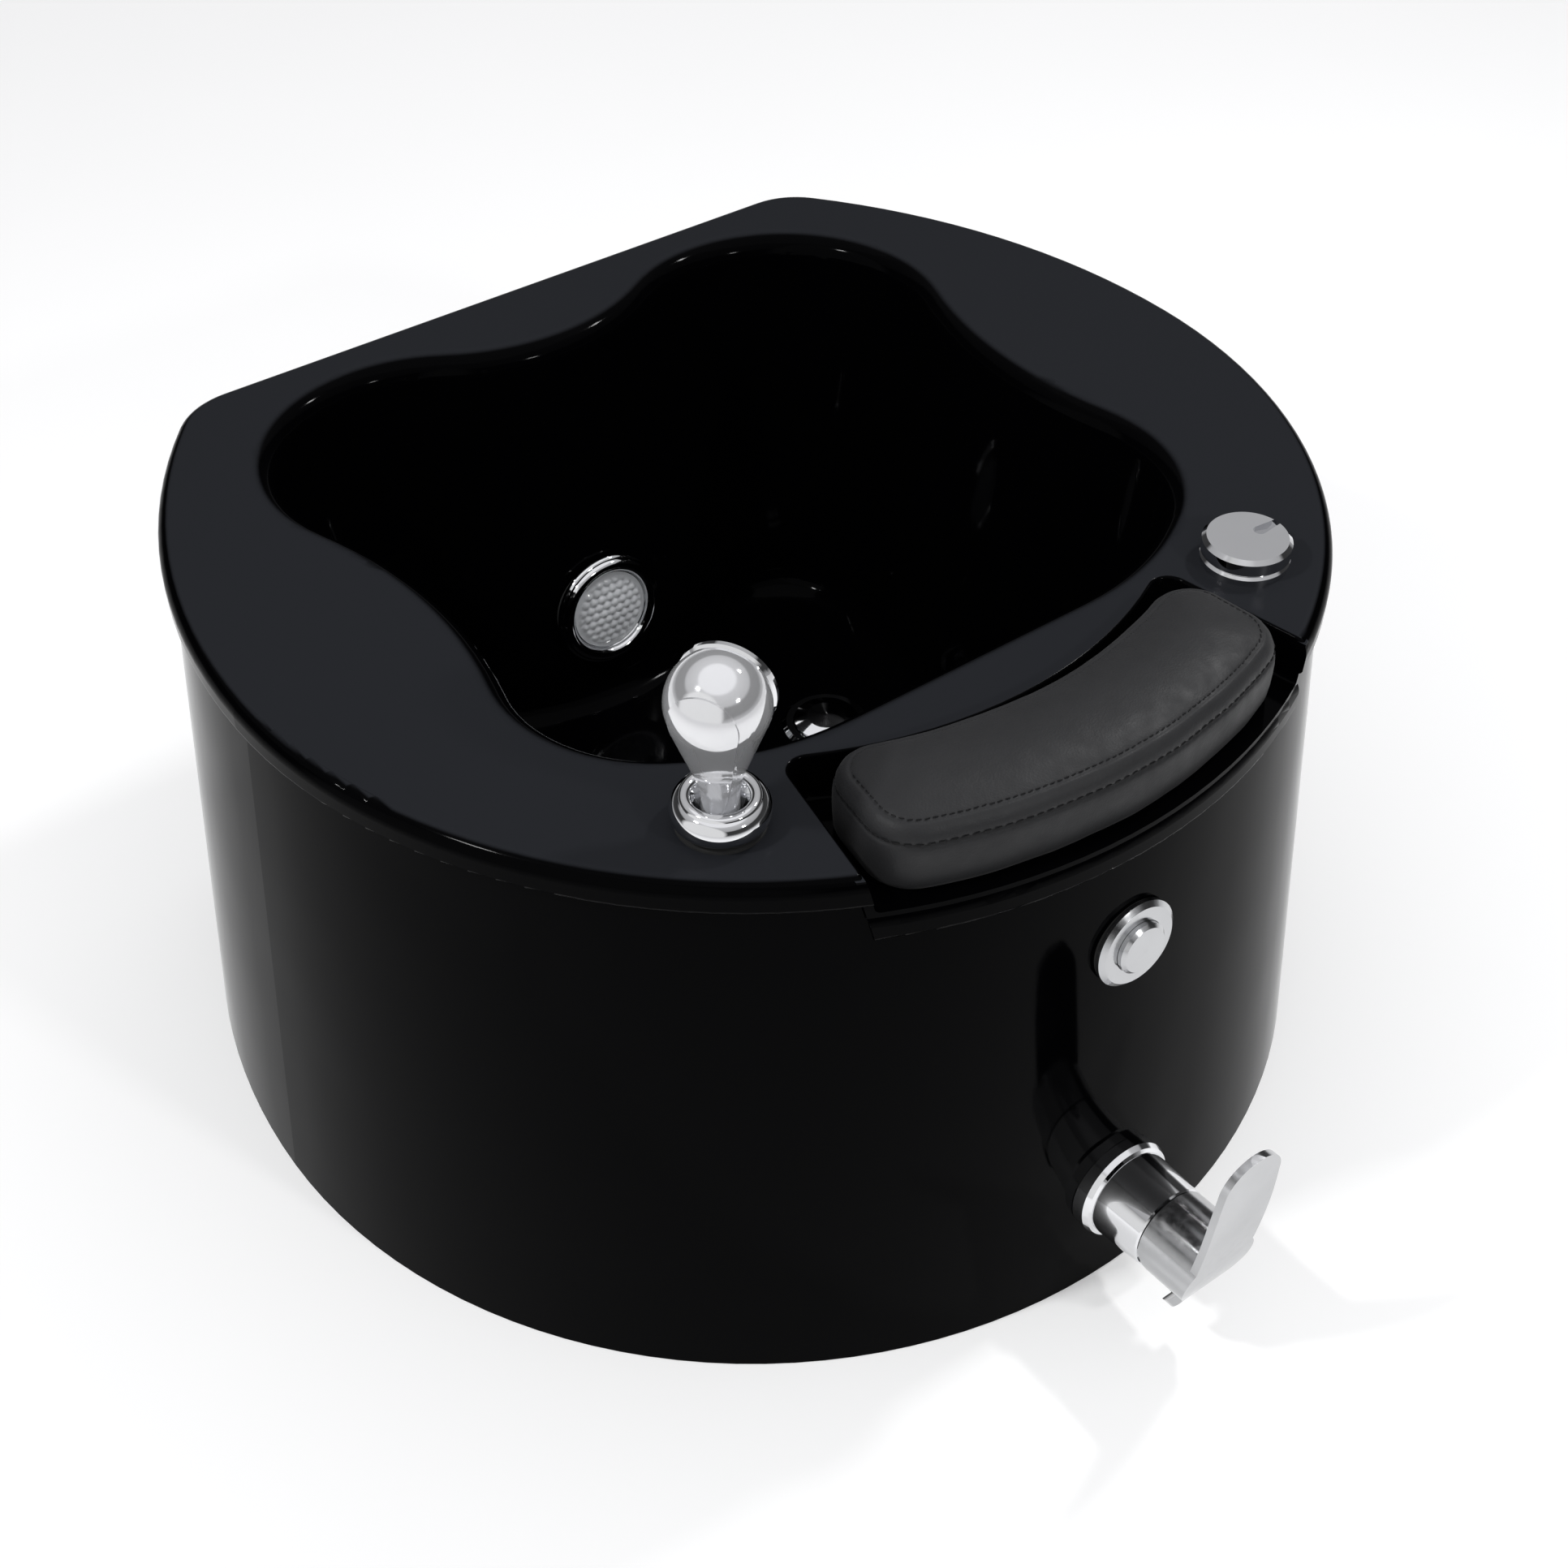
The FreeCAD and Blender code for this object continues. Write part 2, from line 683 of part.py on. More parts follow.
def footrest():
    cover = footrest_cover()
    board_levels = [(recess_floor + 0.4, -pad_board_inset), (recess_floor + pad_board_thickness, -pad_board_inset)]
    pocket_levels = [(recess_floor, slip - pad_board_inset),
                     (recess_floor + pad_board_thickness + slip, slip - pad_board_inset)]
    board = chain_solid(pad_arcs(), board_levels)
    pegs = [at(disc(peg_radius, -peg_length + 4, 4), x, y, recess_floor) for x, y in peg_places()]
    sockets = [at(disc(peg_radius, -1, 4), x, y, recess_floor) for x, y in peg_places()]
    return {"footrest_cover": cover.cut(chain_solid(pad_arcs(), pocket_levels)), "footrest_board": board.cut(sockets),
            "footrest_pegs": Part.makeCompound(pegs)}


# Base

def base_parts():
    board = skirt_solid(skirt_wall + board_clearance)
    board = board.common(Part.makeBox(2 * beyond, 2 * beyond, board_thickness, V(-beyond, -beyond, 0)))
    posts = []
    for x, y in post_places:
        top = bowl_floor_height - shell_wall
        post = tube(post_radius, post_radius - post_wall, board_thickness, top)
        foot = tube(post_foot_radius, post_radius - post_wall, board_thickness,
                    board_thickness + post_foot_thickness)
        posts.append(at(post.fuse(foot), x, y))
    brackets = []
    screws = []
    for angle in bracket_angles:
        turn = FreeCAD.Rotation(UP, angle)
        inner = front_radius + skirt_grow(board_thickness) - skirt_wall - board_clearance
        corner = V(inner - bracket_size - 2, -bracket_width / 2, board_thickness)
        foot = Part.makeBox(bracket_size, bracket_width, bracket_plate, corner)
        rise = Part.makeBox(bracket_plate, bracket_width, bracket_size,
                            corner + V(bracket_size - bracket_plate - 1, 0, 0))
        bracket = foot.fuse(rise)
        middle = V(inner - bracket_size / 2 - 4, 0, 0)
        bracket = bracket.cut(at(disc(screw_radius + slip, 0, 40), middle.x, 0))
        screw = disc(screw_radius, board_thickness - screw_length + bracket_plate,
                     board_thickness + bracket_plate)
        head = disc(screw_head_radius, board_thickness + bracket_plate,
                    board_thickness + bracket_plate + screw_head_height)
        screw = at(screw.fuse(head), middle.x, 0)
        board = board.cut(turned(at(disc(screw_radius, board_thickness - screw_length, board_thickness + 1),
                                    middle.x, 0), turn))
        brackets.append(turned(bracket, turn))
        screws.append(turned(screw, turn))
    return {"base_board": board, "bowl_posts": Part.makeCompound(posts),
            "skirt_brackets": Part.makeCompound(brackets), "bracket_screws": Part.makeCompound(screws)}


def turned(shape, rotation):
    moved = shape.copy()
    moved.Placement = FreeCAD.Placement(ORIGIN, rotation).multiply(moved.Placement)
    return moved


# Hand shower

def pear(extra):
    """The handset's turned body: a straight tail, a flaring neck and a ball head, grown by extra."""
    head = handset_head_radius + extra
    neck = neck_radius + extra
    bend = neck_bend_radius - extra
    flare = math.radians(neck_flare_deg)
    ball_z = handset_head_height - head * math.sin(flare)
    ball_r = head * math.cos(flare)
    flare_r = neck + bend * (1 - math.cos(flare))
    flare_z = ball_z - (ball_r - flare_r) / math.tan(flare)
    mid_r = neck + bend * (1 - math.cos(flare / 2))
    start_z = flare_z - bend * math.sin(flare)
    body = revolved([(0, -handset_tail), (neck - 1.5, -handset_tail), (neck, 1.5 - handset_tail), (neck, start_z),
                     ((mid_r, start_z + bend * math.sin(flare / 2)), (flare_r, flare_z)),
                     (ball_r, ball_z), (0, ball_z)])
    return body.fuse(Part.makeSphere(head, V(0, 0, handset_head_height), UP, -neck_flare_deg, 90, 360))


def handset_parts():
    base = rim_height
    washer = tube(collar_washer_radius, shank_radius + slip, 0, collar_washer_height)
    low = collar_washer_height
    high = low + collar_height
    mid = low + collar_height * 0.5
    collar = revolved([(shank_bore, -shank_length), (shank_radius, -shank_length), (shank_radius, low),
                       (collar_radius - 6, low),
                       ((collar_radius, mid - 1), (collar_radius - 5, high - 2)),
                       ((collar_radius - 7.5, high), (collar_mouth_radius, high - 3)),
                       ((shank_bore + 1.5, mid), (shank_bore, low + 2))])
    nut = hex_nut(40, shank_radius + thread_gap, -shell_wall - 9, -shell_wall)
    turn = FreeCAD.Rotation(UP, face_azimuth)
    body = pear(0).cut(Part.makeBox(100, 200, 200, V(face_offset, -100, 30)))
    body = turned(body.fuse(pear(panel_rise).common(panel_prism())), turn)
    plate = revolved([(0, 0), (face_radius - 2, 0), (face_radius, 1.5), (face_radius, 4),
                      (face_radius - 2.5, face_thickness), (0, face_thickness)])
    nozzles = []
    for ring, count in ((8, 6), (17, 12)):
        for i in range(count):
            a = 2 * math.pi * i / count
            nozzles.append(at(disc(nozzle_radius, face_thickness - 1, face_thickness + nozzle_height),
                              ring * math.cos(a), ring * math.sin(a)))
    plate = plate.fuse(nozzles)
    plate.Placement = FreeCAD.Placement(V(face_offset, 0, handset_head_height), FreeCAD.Rotation(V(0, 1, 0), 90))
    plate = turned(plate, turn)
    ferrule = tube(ferrule_radius, hose_radius + thread_gap, -handset_tail - ferrule_length, -handset_tail)
    riser_top = rim_height - handset_tail - 2
    riser = tube(hose_radius, hose_radius - 2, riser_foot_height, riser_top)
    shapes = {"collar_washer": washer, "handset_collar": collar, "collar_nut": nut, "handset_shell": body,
              "spray_face": plate, "hose_ferrule": ferrule}
    placed = {name: at(shape, handset_x, handset_y, base) for name, shape in shapes.items()}
    placed["hose_riser"] = at(riser, handset_x, handset_y)
    return placed


def panel_prism():
    """Teardrop outline, seen from the side opposite the spray face, drawn through the handset's near half."""
    top = panel_top_radius
    low = panel_bottom_radius
    z_low = panel_bottom_height + low
    z_top = panel_top_height
    tilt = math.asin((top - low) / (z_top - z_low))
    side = (math.cos(tilt), -math.sin(tilt))
    x = -60
    upper = V(x, top * side[0], z_top + top * side[1])
    lower = V(x, low * side[0], z_low + low * side[1])

    def other(p):
        return V(p.x, -p.y, p.z)

    edges = [arc(upper, V(x, 0, z_top + top), other(upper)), Part.makeLine(other(upper), other(lower)),
             arc(other(lower), V(x, 0, z_low - low), lower), Part.makeLine(lower, upper)]
    return Part.Face(Part.Wire(edges)).extrude(V(60, 0, 0))


# Drain knob

def knob_parts():
    base = revolved([(knob_spindle_radius + pin_gap, -knob_barrel_length), (knob_barrel_radius, -knob_barrel_length),
                     (knob_barrel_radius, 0), (knob_radius, 0), (knob_radius, knob_base_height - 2),
                     (knob_radius - 2, knob_base_height), (knob_spindle_radius + pin_gap, knob_base_height)])
    low = knob_base_height + slip
    high = low + knob_height
    knob = revolved([(0, -knob_barrel_length - 9), (knob_spindle_radius, -knob_barrel_length - 9),
                     (knob_spindle_radius, low), (knob_radius - 1, low), (knob_radius, low + 1),
                     (knob_radius, high - 2.5), (knob_radius - 2.5, high), (0, high)])
    slot = finger_slot()
    knob = knob.cut(at(slot, knob_radius, 0, high - finger_slot_depth))
    nut = hex_nut(38, knob_barrel_radius + thread_gap, -shell_wall - 8, -shell_wall)
    rim = pulley_radius
    pulley = revolved([(knob_spindle_radius + pin_gap, 0), (rim, 0), (rim - 2, pulley_thickness / 2),
                       (rim, pulley_thickness), (knob_spindle_radius + pin_gap, pulley_thickness)])
    pulley = at(pulley, 0, 0, -knob_barrel_length - slip - pulley_thickness)
    shapes = {"knob_base": base, "drain_knob": knob, "knob_nut": nut, "cable_pulley": pulley}
    return {name: at(shape, knob_x, knob_y, rim_height) for name, shape in shapes.items()}


def finger_slot():
    """A teardrop cut into the knob's edge, round at its inner end."""
    half = finger_slot_width / 2
    reach = finger_slot_length
    edges = [arc(V(-reach, -half, 0), V(-reach - half, 0, 0), V(-reach, half, 0)),
             Part.makeLine(V(-reach, half, 0), V(5, half * 0.4, 0)),
             Part.makeLine(V(5, half * 0.4, 0), V(5, -half * 0.4, 0)),
             Part.makeLine(V(5, -half * 0.4, 0), V(-reach, -half, 0))]
    return prism(Part.Wire(edges), finger_slot_depth + 5)


# Air button

def button_parts():
    gasket = tube(button_flange_radius - 1, button_barrel_radius + slip, -4, button_gasket)
    low = button_gasket
    high = low + button_flange_thickness
    back = -button_barrel_length
    spigot = back - air_spigot_length
    body = revolved([(air_spigot_bore, spigot), (air_spigot_radius, spigot), (air_spigot_radius, back - 3),
                     (button_barrel_radius, back - 3), (button_barrel_radius, low), (button_flange_radius, low),
                     (button_flange_radius, high - 2.5), (button_flange_radius - 3, high),
                     (button_bore, high), (button_bore, back),
                     (air_spigot_bore, back)])
    top = high + button_cap_proud
    rim = button_bore - slip
    cap = revolved([(0, low - 2), (rim, low - 2), (rim, top - 2), (rim - 2, top), (0, top + 1)])
    bellows_wall = 1.5
    bellows = [(3.0, back)]
    fold = 10.0
    folds = 2
    pitch = (low - 7 - back) / folds
    for i in range(folds):
        bellows.append((fold, back + i * pitch))
        bellows.append((fold + 3, back + (i + 0.5) * pitch))
    bellows.append((fold, low - 7))
    bellows.append((fold - bellows_wall, low - 7))
    for i in reversed(range(folds)):
        bellows.append((fold + 3 - bellows_wall, back + (i + 0.5) * pitch))
        bellows.append((fold - bellows_wall, back + i * pitch + bellows_wall * (i == 0)))
    bellows.append((3.0, back + bellows_wall))
    nut = hex_nut(50, button_barrel_radius + thread_gap, -skirt_wall - 9.2, -skirt_wall - 1.2)
    shapes = {"button_housing": body, "button_cap": cap, "button_bellows": revolved(bellows), "button_nut": nut}
    placed = {name: on_skirt(shape, button_height) for name, shape in shapes.items()}
    placed["button_gasket"] = on_skirt(gasket, button_height).cut(skirt_solid(0))
    return placed


# Mixer

def blade():
    """The long curved paddle, made along +Z with its own up along +Y."""
    inner = [V(0, up, out) for out, up in blade_profile]
    curve = Part.BSplineCurve()
    curve.interpolate(inner)
    outer_points = []
    for knot in curve.getKnots():
        t = curve.tangent(knot)[0]
        outer_points.append(curve.value(knot) + V(0, -t.z, t.y) * blade_thickness)
    outer = Part.BSplineCurve()
    outer.interpolate(outer_points)
    face = Part.Face(Part.Wire([curve.toShape(), Part.makeLine(curve.EndPoint, outer.EndPoint), outer.toShape(),
                                Part.makeLine(outer.StartPoint, curve.StartPoint)]))
    sheet = face.extrude(V(2 * blade_half_width, 0, 0))
    sheet = at(sheet, -blade_half_width, 0)
    bottom = blade_profile[0][1]
    top = blade_profile[-1][1]
    half = blade_half_width
    tip = half - 1.5
    chin = half - 3.5
    outline = Part.Wire([
        arc(V(-chin, bottom + 12, 0), V(0, bottom - 4, 0), V(chin, bottom + 12, 0)),
        arc(V(chin, bottom + 12, 0), V(half, 22, 0), V(tip, top - tip, 0)),
        arc(V(tip, top - tip, 0), V(0, top, 0), V(-tip, top - tip, 0)),
        arc(V(-tip, top - tip, 0), V(-half, 22, 0), V(-chin, bottom + 12, 0))])
    leaf = sheet.common(prism(outline, 150))
    inside = Part.Face(Part.Wire([outer.toShape(), Part.makeLine(outer.EndPoint, V(0, 60, 0)),
                                  Part.makeLine(V(0, 60, 0), V(0, -60, 0)),
                                  Part.makeLine(V(0, -60, 0), outer.StartPoint)]))
    inside = at(inside.extrude(V(120, 0, 0)), -60, 0)
    return leaf, inside


def mixer_lever():
    leaf, inside = blade()
    low = barrel_length + joint_gap
    cap = tube(cap_radius, 0, low, 120).common(inside)
    cap = cap.fuse(leaf)
    cap = cap.cut(disc(cap_bore, low - 1, lever_pivot + cap_bore_depth))
    wedge = Part.makeBox(120, 60, 60, V(-60, -60, -60))
    wedge.Placement = FreeCAD.Placement(V(0, 0, low + 0.5), FreeCAD.Rotation(V(1, 0, 0), -lever_lift_deg - 0.5))
    cap = cap.cut(wedge)
    stem = disc(stem_radius, lever_pivot - 5, lever_pivot + cap_bore_depth + 1)
    lever = cap.fuse(stem)
    hole = Part.makeCylinder(lever_pin_radius + pin_gap, 20, V(-10, 0, lever_pivot), V(1, 0, 0))
    return lever.cut(hole)


def valve_tail_end():
    return -skirt_wall - 1 - valve_length - tail_length


def mixer_parts():
    ring = escutcheon_radius
    thick = escutcheon_thickness
    escutcheon = revolved([(barrel_root_radius + slip, -4), (ring, -4), (ring, thick - 5),
                           (ring - 1.5, thick - 1.5), (ring - 4, thick), (barrel_root_radius + slip, thick)])
    barrel = revolved([(12, -skirt_wall - 1), (valve_radius, -skirt_wall - 1), (valve_radius, 1.5),
                       (barrel_root_radius, 1.5), (barrel_root_radius, thick),
                       (barrel_end_radius, barrel_length - 1),
                       (barrel_end_radius - 1, barrel_length), (cartridge_radius + thread_gap, barrel_length),
                       (cartridge_radius + thread_gap, 12), (12, 12)])
    cartridge = disc(cartridge_radius, 12, 46).cut(disc(carrier_radius + slip, 34, 46))
    carrier = disc(carrier_radius, 34 + slip, lever_pivot + 5)
    slot = Part.makeBox(2 * (stem_radius + slip), 40, 30, V(-stem_radius - slip, -20, lever_pivot - 7.5))
    pin_hole = Part.makeCylinder(lever_pin_radius, 40, V(-20, 0, lever_pivot), V(1, 0, 0))
    carrier = carrier.cut(slot).cut(pin_hole)
    pin = Part.makeCylinder(lever_pin_radius, 2 * carrier_radius - 1, V(-carrier_radius + 0.5, 0, lever_pivot),
                            V(1, 0, 0))
    dome = [(bonnet_radius * math.cos(math.radians(a)), lever_pivot + bonnet_radius * math.sin(math.radians(a)))
            for a in (0, 20, 40, 58)]
    bonnet = revolved([(bonnet_bore, 46), (cartridge_radius, 46), (cartridge_radius, barrel_length),
                       (dome[0][0], barrel_length)] + dome + [(bonnet_bore, dome[-1][1])])
    nut = hex_nut(60, valve_radius + thread_gap, -skirt_wall - 11.6, -skirt_wall - 1.6)
    valve = disc(valve_radius, -skirt_wall - 1 - valve_length, -skirt_wall - 1)
    port_z = -skirt_wall - valve_length + 12
    valve = valve.fuse(Part.makeCylinder(port_radius, port_reach, V(0, 0, port_z), V(0, 1, 0)))
    for x in (-tail_spread, tail_spread):
        valve = valve.fuse(at(disc(tail_radius, valve_tail_end(), valve_tail_end() + tail_length), x, 0))
    shapes = {"mixer_barrel": barrel, "mixer_cartridge": cartridge, "lever_carrier": carrier, "lever_pin": pin,
              "cartridge_bonnet": bonnet, "mixer_nut": nut, "mixer_valve": valve, "mixer_lever": mixer_lever()}
    placed = {name: on_skirt(shape, mixer_height) for name, shape in shapes.items()}
    placed["mixer_escutcheon"] = on_skirt(escutcheon, mixer_height).cut(skirt_solid(0))
    return placed


# Underwater light

def light_parts():
    rise = light_bezel_rise
    ring = light_bezel_radius
    lens = light_lens_radius
    bezel = revolved([(light_barrel_radius + slip, 1.5), (ring - 3, 1.5),
                      ((ring, 4), (ring - 2.5, rise - 3)), ((ring - 6.5, rise), (lens + 1, rise - 4.5)),
                      (lens + slip, rise - 5.5), (lens + slip, 5), (light_barrel_radius + slip, 5)])
    gasket = tube(ring - 4, light_barrel_radius + slip, -6, 1.5)
    backing = tube(light_barrel_radius + 6, light_barrel_radius + slip, -shell_wall - light_backing, 0)
    clear = revolved([(0, 5.3), (lens, 5.3), (lens, 6.5), (lens * 0.6, 8.5), (0, 9.5)])
    back = -light_barrel_length
    cup = revolved([(0, back), (light_barrel_radius, back), (light_barrel_radius, 5), (light_barrel_radius - 3, 5),
                    (light_barrel_radius - 3, back + 3), (0, back + 3)])
    module = revolved([(0, back + 3), (18, back + 3), (18, back + 8), (4, back + 8), (4, back + 12), (0, back + 12)])
    nut = hex_nut(66, light_barrel_radius + thread_gap, -shell_wall - light_backing - 8, -shell_wall - light_backing)
    shapes = {"light_bezel": bezel, "light_lens": clear, "light_cup": cup, "light_module": module,
              "light_nut": nut}
    placed = {name: on_bowl_back(shape) for name, shape in shapes.items()}
    cavity = bowl_solid(bowl_floor_height, rim_height + 10, 0, bowl_floor_round)
    placed["light_gasket"] = on_bowl_back(gasket).common(cavity)
    shell = bowl_solid(bowl_floor_height - shell_wall, skirt_top, shell_wall + slip, bowl_floor_round + shell_wall)
    placed["light_backing"] = on_bowl_back(backing).cut(shell)
    return placed


# Drain

def drain_parts():
    floor = bowl_floor_height
    under = floor - shell_wall
    flange = revolved([(drain_bore, drain_tail_height), (drain_tube_radius, drain_tail_height),
                       (drain_tube_radius, floor), (drain_flange_radius, floor),
                       (drain_flange_radius - 3, floor + drain_flange_rise),
                       (plug_radius + 1, floor + drain_flange_rise), (drain_bore, floor - 2)])
    hub = tube(plug_stem_radius + 3, plug_stem_radius + pin_gap, floor - 22, floor - 10)
    spokes = [turned(Part.makeBox(drain_bore + 1 - plug_stem_radius - 2, 2.4, 8,
                                  V(plug_stem_radius + 2, -1.2, floor - 20)), FreeCAD.Rotation(UP, a))
              for a in (0, 120, 240)]
    flange = flange.fuse([hub] + spokes)
    gasket = tube(drain_flange_radius + 1, drain_tube_radius + slip, under - 3, under)
    nut = hex_nut(58, drain_tube_radius + thread_gap, under - 11, under - 3)
    low = waste_height + waste_bend
    socket = revolved([(waste_radius + thread_gap, low), (24, low), (24, low + 5), (28, low + 5), (28, under - 11.5),
                       (drain_tube_radius + thread_gap, under - 11.5),
                       (drain_tube_radius + thread_gap, drain_tail_height),
                       (waste_radius + thread_gap, drain_tail_height)])
    seat = floor + drain_flange_rise + plug_seat_gap
    plug = revolved([(0, drain_tail_height + 2), (plug_stem_radius, drain_tail_height + 2),
                     (plug_stem_radius, floor - 4), (10, floor - 3), (plug_radius - 4, seat - 0.4),
                     (plug_radius - 4, seat), (plug_radius, seat), (plug_radius, seat + 1.5),
                     (plug_radius * 0.6, seat + 4.6), (0, seat + 6)])
    shapes = {"drain_flange": flange, "drain_gasket": gasket, "drain_nut": nut, "drain_socket": socket,
              "drain_plug": plug}
    placed = {name: at(shape, drain_x, drain_y) for name, shape in shapes.items()}
    top = V(drain_x, drain_y, drain_tail_height - 1)
    bend_in = V(drain_x, drain_y, waste_height + waste_bend)
    bend_mid = V(drain_x, drain_y + waste_bend * (1 - math.cos(math.pi / 4)),
                 waste_height + waste_bend * (1 - math.sin(math.pi / 4)))
    bend_out = V(drain_x, drain_y + waste_bend, waste_height)
    spine = Part.Wire([Part.makeLine(top, bend_in), arc(bend_in, bend_mid, bend_out),
                       Part.makeLine(bend_out, V(drain_x, connection_y, waste_height))])
    pipe = swept(spine, top, UP * -1, waste_radius)
    placed["waste_pipe"] = pipe.cut(swept(spine, top, UP * -1, waste_radius - waste_wall))
    return placed


# Connections and control box

def connection_parts():
    width = inlet_spacing + 50
    plate = Part.makeBox(width, 4, 62, V(inlet_centre_x - width / 2, bracket_y, board_thickness))
    foot = Part.makeBox(width, 30, 4, V(inlet_centre_x - width / 2, bracket_y - 26, board_thickness))
    bracket = plate.fuse(foot)
    parts = {}
    for name, side in (("hot_inlet", -1), ("cold_inlet", 1)):
        x = inlet_centre_x + side * inlet_spacing / 2
        nipple = revolved([(inlet_bore, -inlet_tail), (inlet_radius, -inlet_tail), (inlet_radius, -12), (15, -12), (15, 0),
                           (inlet_radius + 1, 0), (inlet_radius + 1, 7), (inlet_radius, 7),
                           (inlet_radius, 7 + inlet_stub), (inlet_bore, 7 + inlet_stub)])
        nipple.Placement = FreeCAD.Placement(V(x, bracket_y, inlet_height), FreeCAD.Rotation(V(1, 0, 0), -90))
        parts[name] = nipple
        hole = Part.makeCylinder(inlet_radius + 1 + slip, 10, V(x, bracket_y - 2, inlet_height), V(0, 1, 0))
        bracket = bracket.cut(hole)
    parts["inlet_bracket"] = bracket
    shell = Part.makeBox(box_length, box_width, box_depth,
                         V(box_x - box_length / 2, box_y - box_width / 2, board_thickness))
    shell = shell.makeFillet(6, edges_where(shell, lambda e: e.BoundBox.ZLength > box_depth - 1))
    hollow = Part.makeBox(box_length - 2 * box_wall, box_width - 2 * box_wall, box_depth - box_wall,
                          V(box_x - box_length / 2 + box_wall, box_y - box_width / 2 + box_wall,
                            board_thickness + box_wall))
    lid_z = board_thickness + box_depth
    lid = Part.makeBox(box_length, box_width, box_wall, V(box_x - box_length / 2, box_y - box_width / 2, lid_z))
    lid = lid.makeFillet(6, edges_where(lid, lambda e: e.BoundBox.ZLength > box_wall - 1))
    parts["control_box"] = shell.cut(hollow)
    parts["control_box_lid"] = lid
    return parts


def hose_parts():
    """The supply hoses under the bowl, and the air tube from the push button down to the control box."""
    back = bracket_y - inlet_tail
    low = inlet_height
    hot_x = inlet_centre_x - inlet_spacing / 2
    cold_x = inlet_centre_x + inlet_spacing / 2
    hot_by = [(hot_x + 31, 20, low), (hot_x + 31, back - 110, low), (hot_x, back - 40, low), (hot_x, back, low)]
    cold_by = [(cold_x, 20, low), (cold_x, back, low)]
    parts = {}
    for name, x, onward in (("hot_hose", -tail_spread, hot_by), ("cold_hose", tail_spread, cold_by)):
        tail = valve_tail_end()
        leave = [skirt_point(x, tail, mixer_height), skirt_point(x, tail - hose_run, mixer_height)]
        parts[name] = route(name, leave + onward, hose_outer, hose_inner)
    spigot = -button_barrel_length - air_spigot_length
    leave = [skirt_point(0, spigot, button_height), skirt_point(0, spigot - 60, button_height)]
    box_front = box_y - box_width / 2
    low = board_thickness + box_depth * 0.65
    onward = [(-60, -290, low + 15), (box_x, -190, low), (box_x, box_front, low)]
    parts["air_tube"] = route("air_tube", leave + onward, air_tube_radius, air_spigot_bore)
    return parts


def main():
    os.makedirs("parts", exist_ok=True)
    nodes = {"basin_shell": basin_shell(), "outer_skirt": outer_skirt()}
    for group in (footrest, base_parts, handset_parts, knob_parts, button_parts, mixer_parts, light_parts,
                  drain_parts, connection_parts, hose_parts):
        nodes.update(group())
    for name, shape in nodes.items():
        shape.exportStep("parts/%s.step" % name)
        print(name, len(shape.Solids), shape.isValid(), round(shape.Volume))


main()
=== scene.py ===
import json
import math
import random

import bmesh
import bpy
from mathutils import Matrix, Vector


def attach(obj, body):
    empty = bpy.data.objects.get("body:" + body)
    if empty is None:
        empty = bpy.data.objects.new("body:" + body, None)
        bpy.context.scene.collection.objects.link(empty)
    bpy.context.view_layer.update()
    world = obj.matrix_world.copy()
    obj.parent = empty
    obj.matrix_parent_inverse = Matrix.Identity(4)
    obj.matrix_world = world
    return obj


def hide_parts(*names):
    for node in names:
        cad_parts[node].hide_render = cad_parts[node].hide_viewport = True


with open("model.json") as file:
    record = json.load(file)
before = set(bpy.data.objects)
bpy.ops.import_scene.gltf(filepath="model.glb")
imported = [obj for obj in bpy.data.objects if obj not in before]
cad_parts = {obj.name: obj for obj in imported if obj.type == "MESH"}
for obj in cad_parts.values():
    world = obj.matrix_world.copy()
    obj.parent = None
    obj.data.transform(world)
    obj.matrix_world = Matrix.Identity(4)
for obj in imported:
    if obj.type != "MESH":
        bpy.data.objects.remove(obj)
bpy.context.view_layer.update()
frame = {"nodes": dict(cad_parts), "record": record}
nodes = frame["nodes"]

# Sizes in metres and angles in radians. The pad's and the light's are those of the solids.
RECESS_FLOOR = 0.364
PAD_FRONT_RADIUS = 0.348
PAD_REAR_RADIUS = 0.289
PAD_REAR_CENTRE = Vector((0.0, 0.023))
PAD_FRONT_CORNER = 0.031
PAD_REAR_CORNER = 0.027
PAD_END = Vector((0.139, -0.262))
PAD_END_SLOPE = 0.138
PAD_TOP = 0.044
PAD_SEAM = 0.033
PAD_CROWN = 0.0058
LIGHT_CENTRE = Vector((0.0, 0.187959, 0.176))
LIGHT_TILT = math.radians(7.465)
LENS_RADIUS = 0.0298

# The pad's side, from its foot to the top seam, as heights over the recess floor and steps outward
PAD_SIDE = [
    (0.0006, -0.0040), (0.0016, -0.0022), (0.0050, -0.0010), (0.0130, -0.0003), (0.0210, 0.0), (0.0265, 0.0),
    (0.0300, -0.0003), (0.0318, -0.0010), (PAD_SEAM, -0.0025), (0.0341, -0.0016), (0.0360, -0.0016),
    (0.0390, -0.0028), (0.0415, -0.0048), (0.0430, -0.0066), (0.0436, -0.0080), (0.0434, -0.0089),
    (0.0441, -0.0099), (0.0449, -0.0116)]
SIDE_SEAM_ROW = 8
TOP_SEAM_ROW = 15
CROWN_STEPS = 16
CROWN_FALL = 2.2
OUTLINE_STEP = 0.0022
JOINT_GAP = 0.001
JOINT_POINTS = 4
FEWEST_POINTS = 6

# The pad's middle line, an arc bent as its long sides are
MIDDLE_CENTRE = Vector((0.0, 0.0115))
MIDDLE_RADIUS = 0.3175
MIDDLE_HALF_ANGLE = 0.312
MIDDLE_REACHED = 0.985

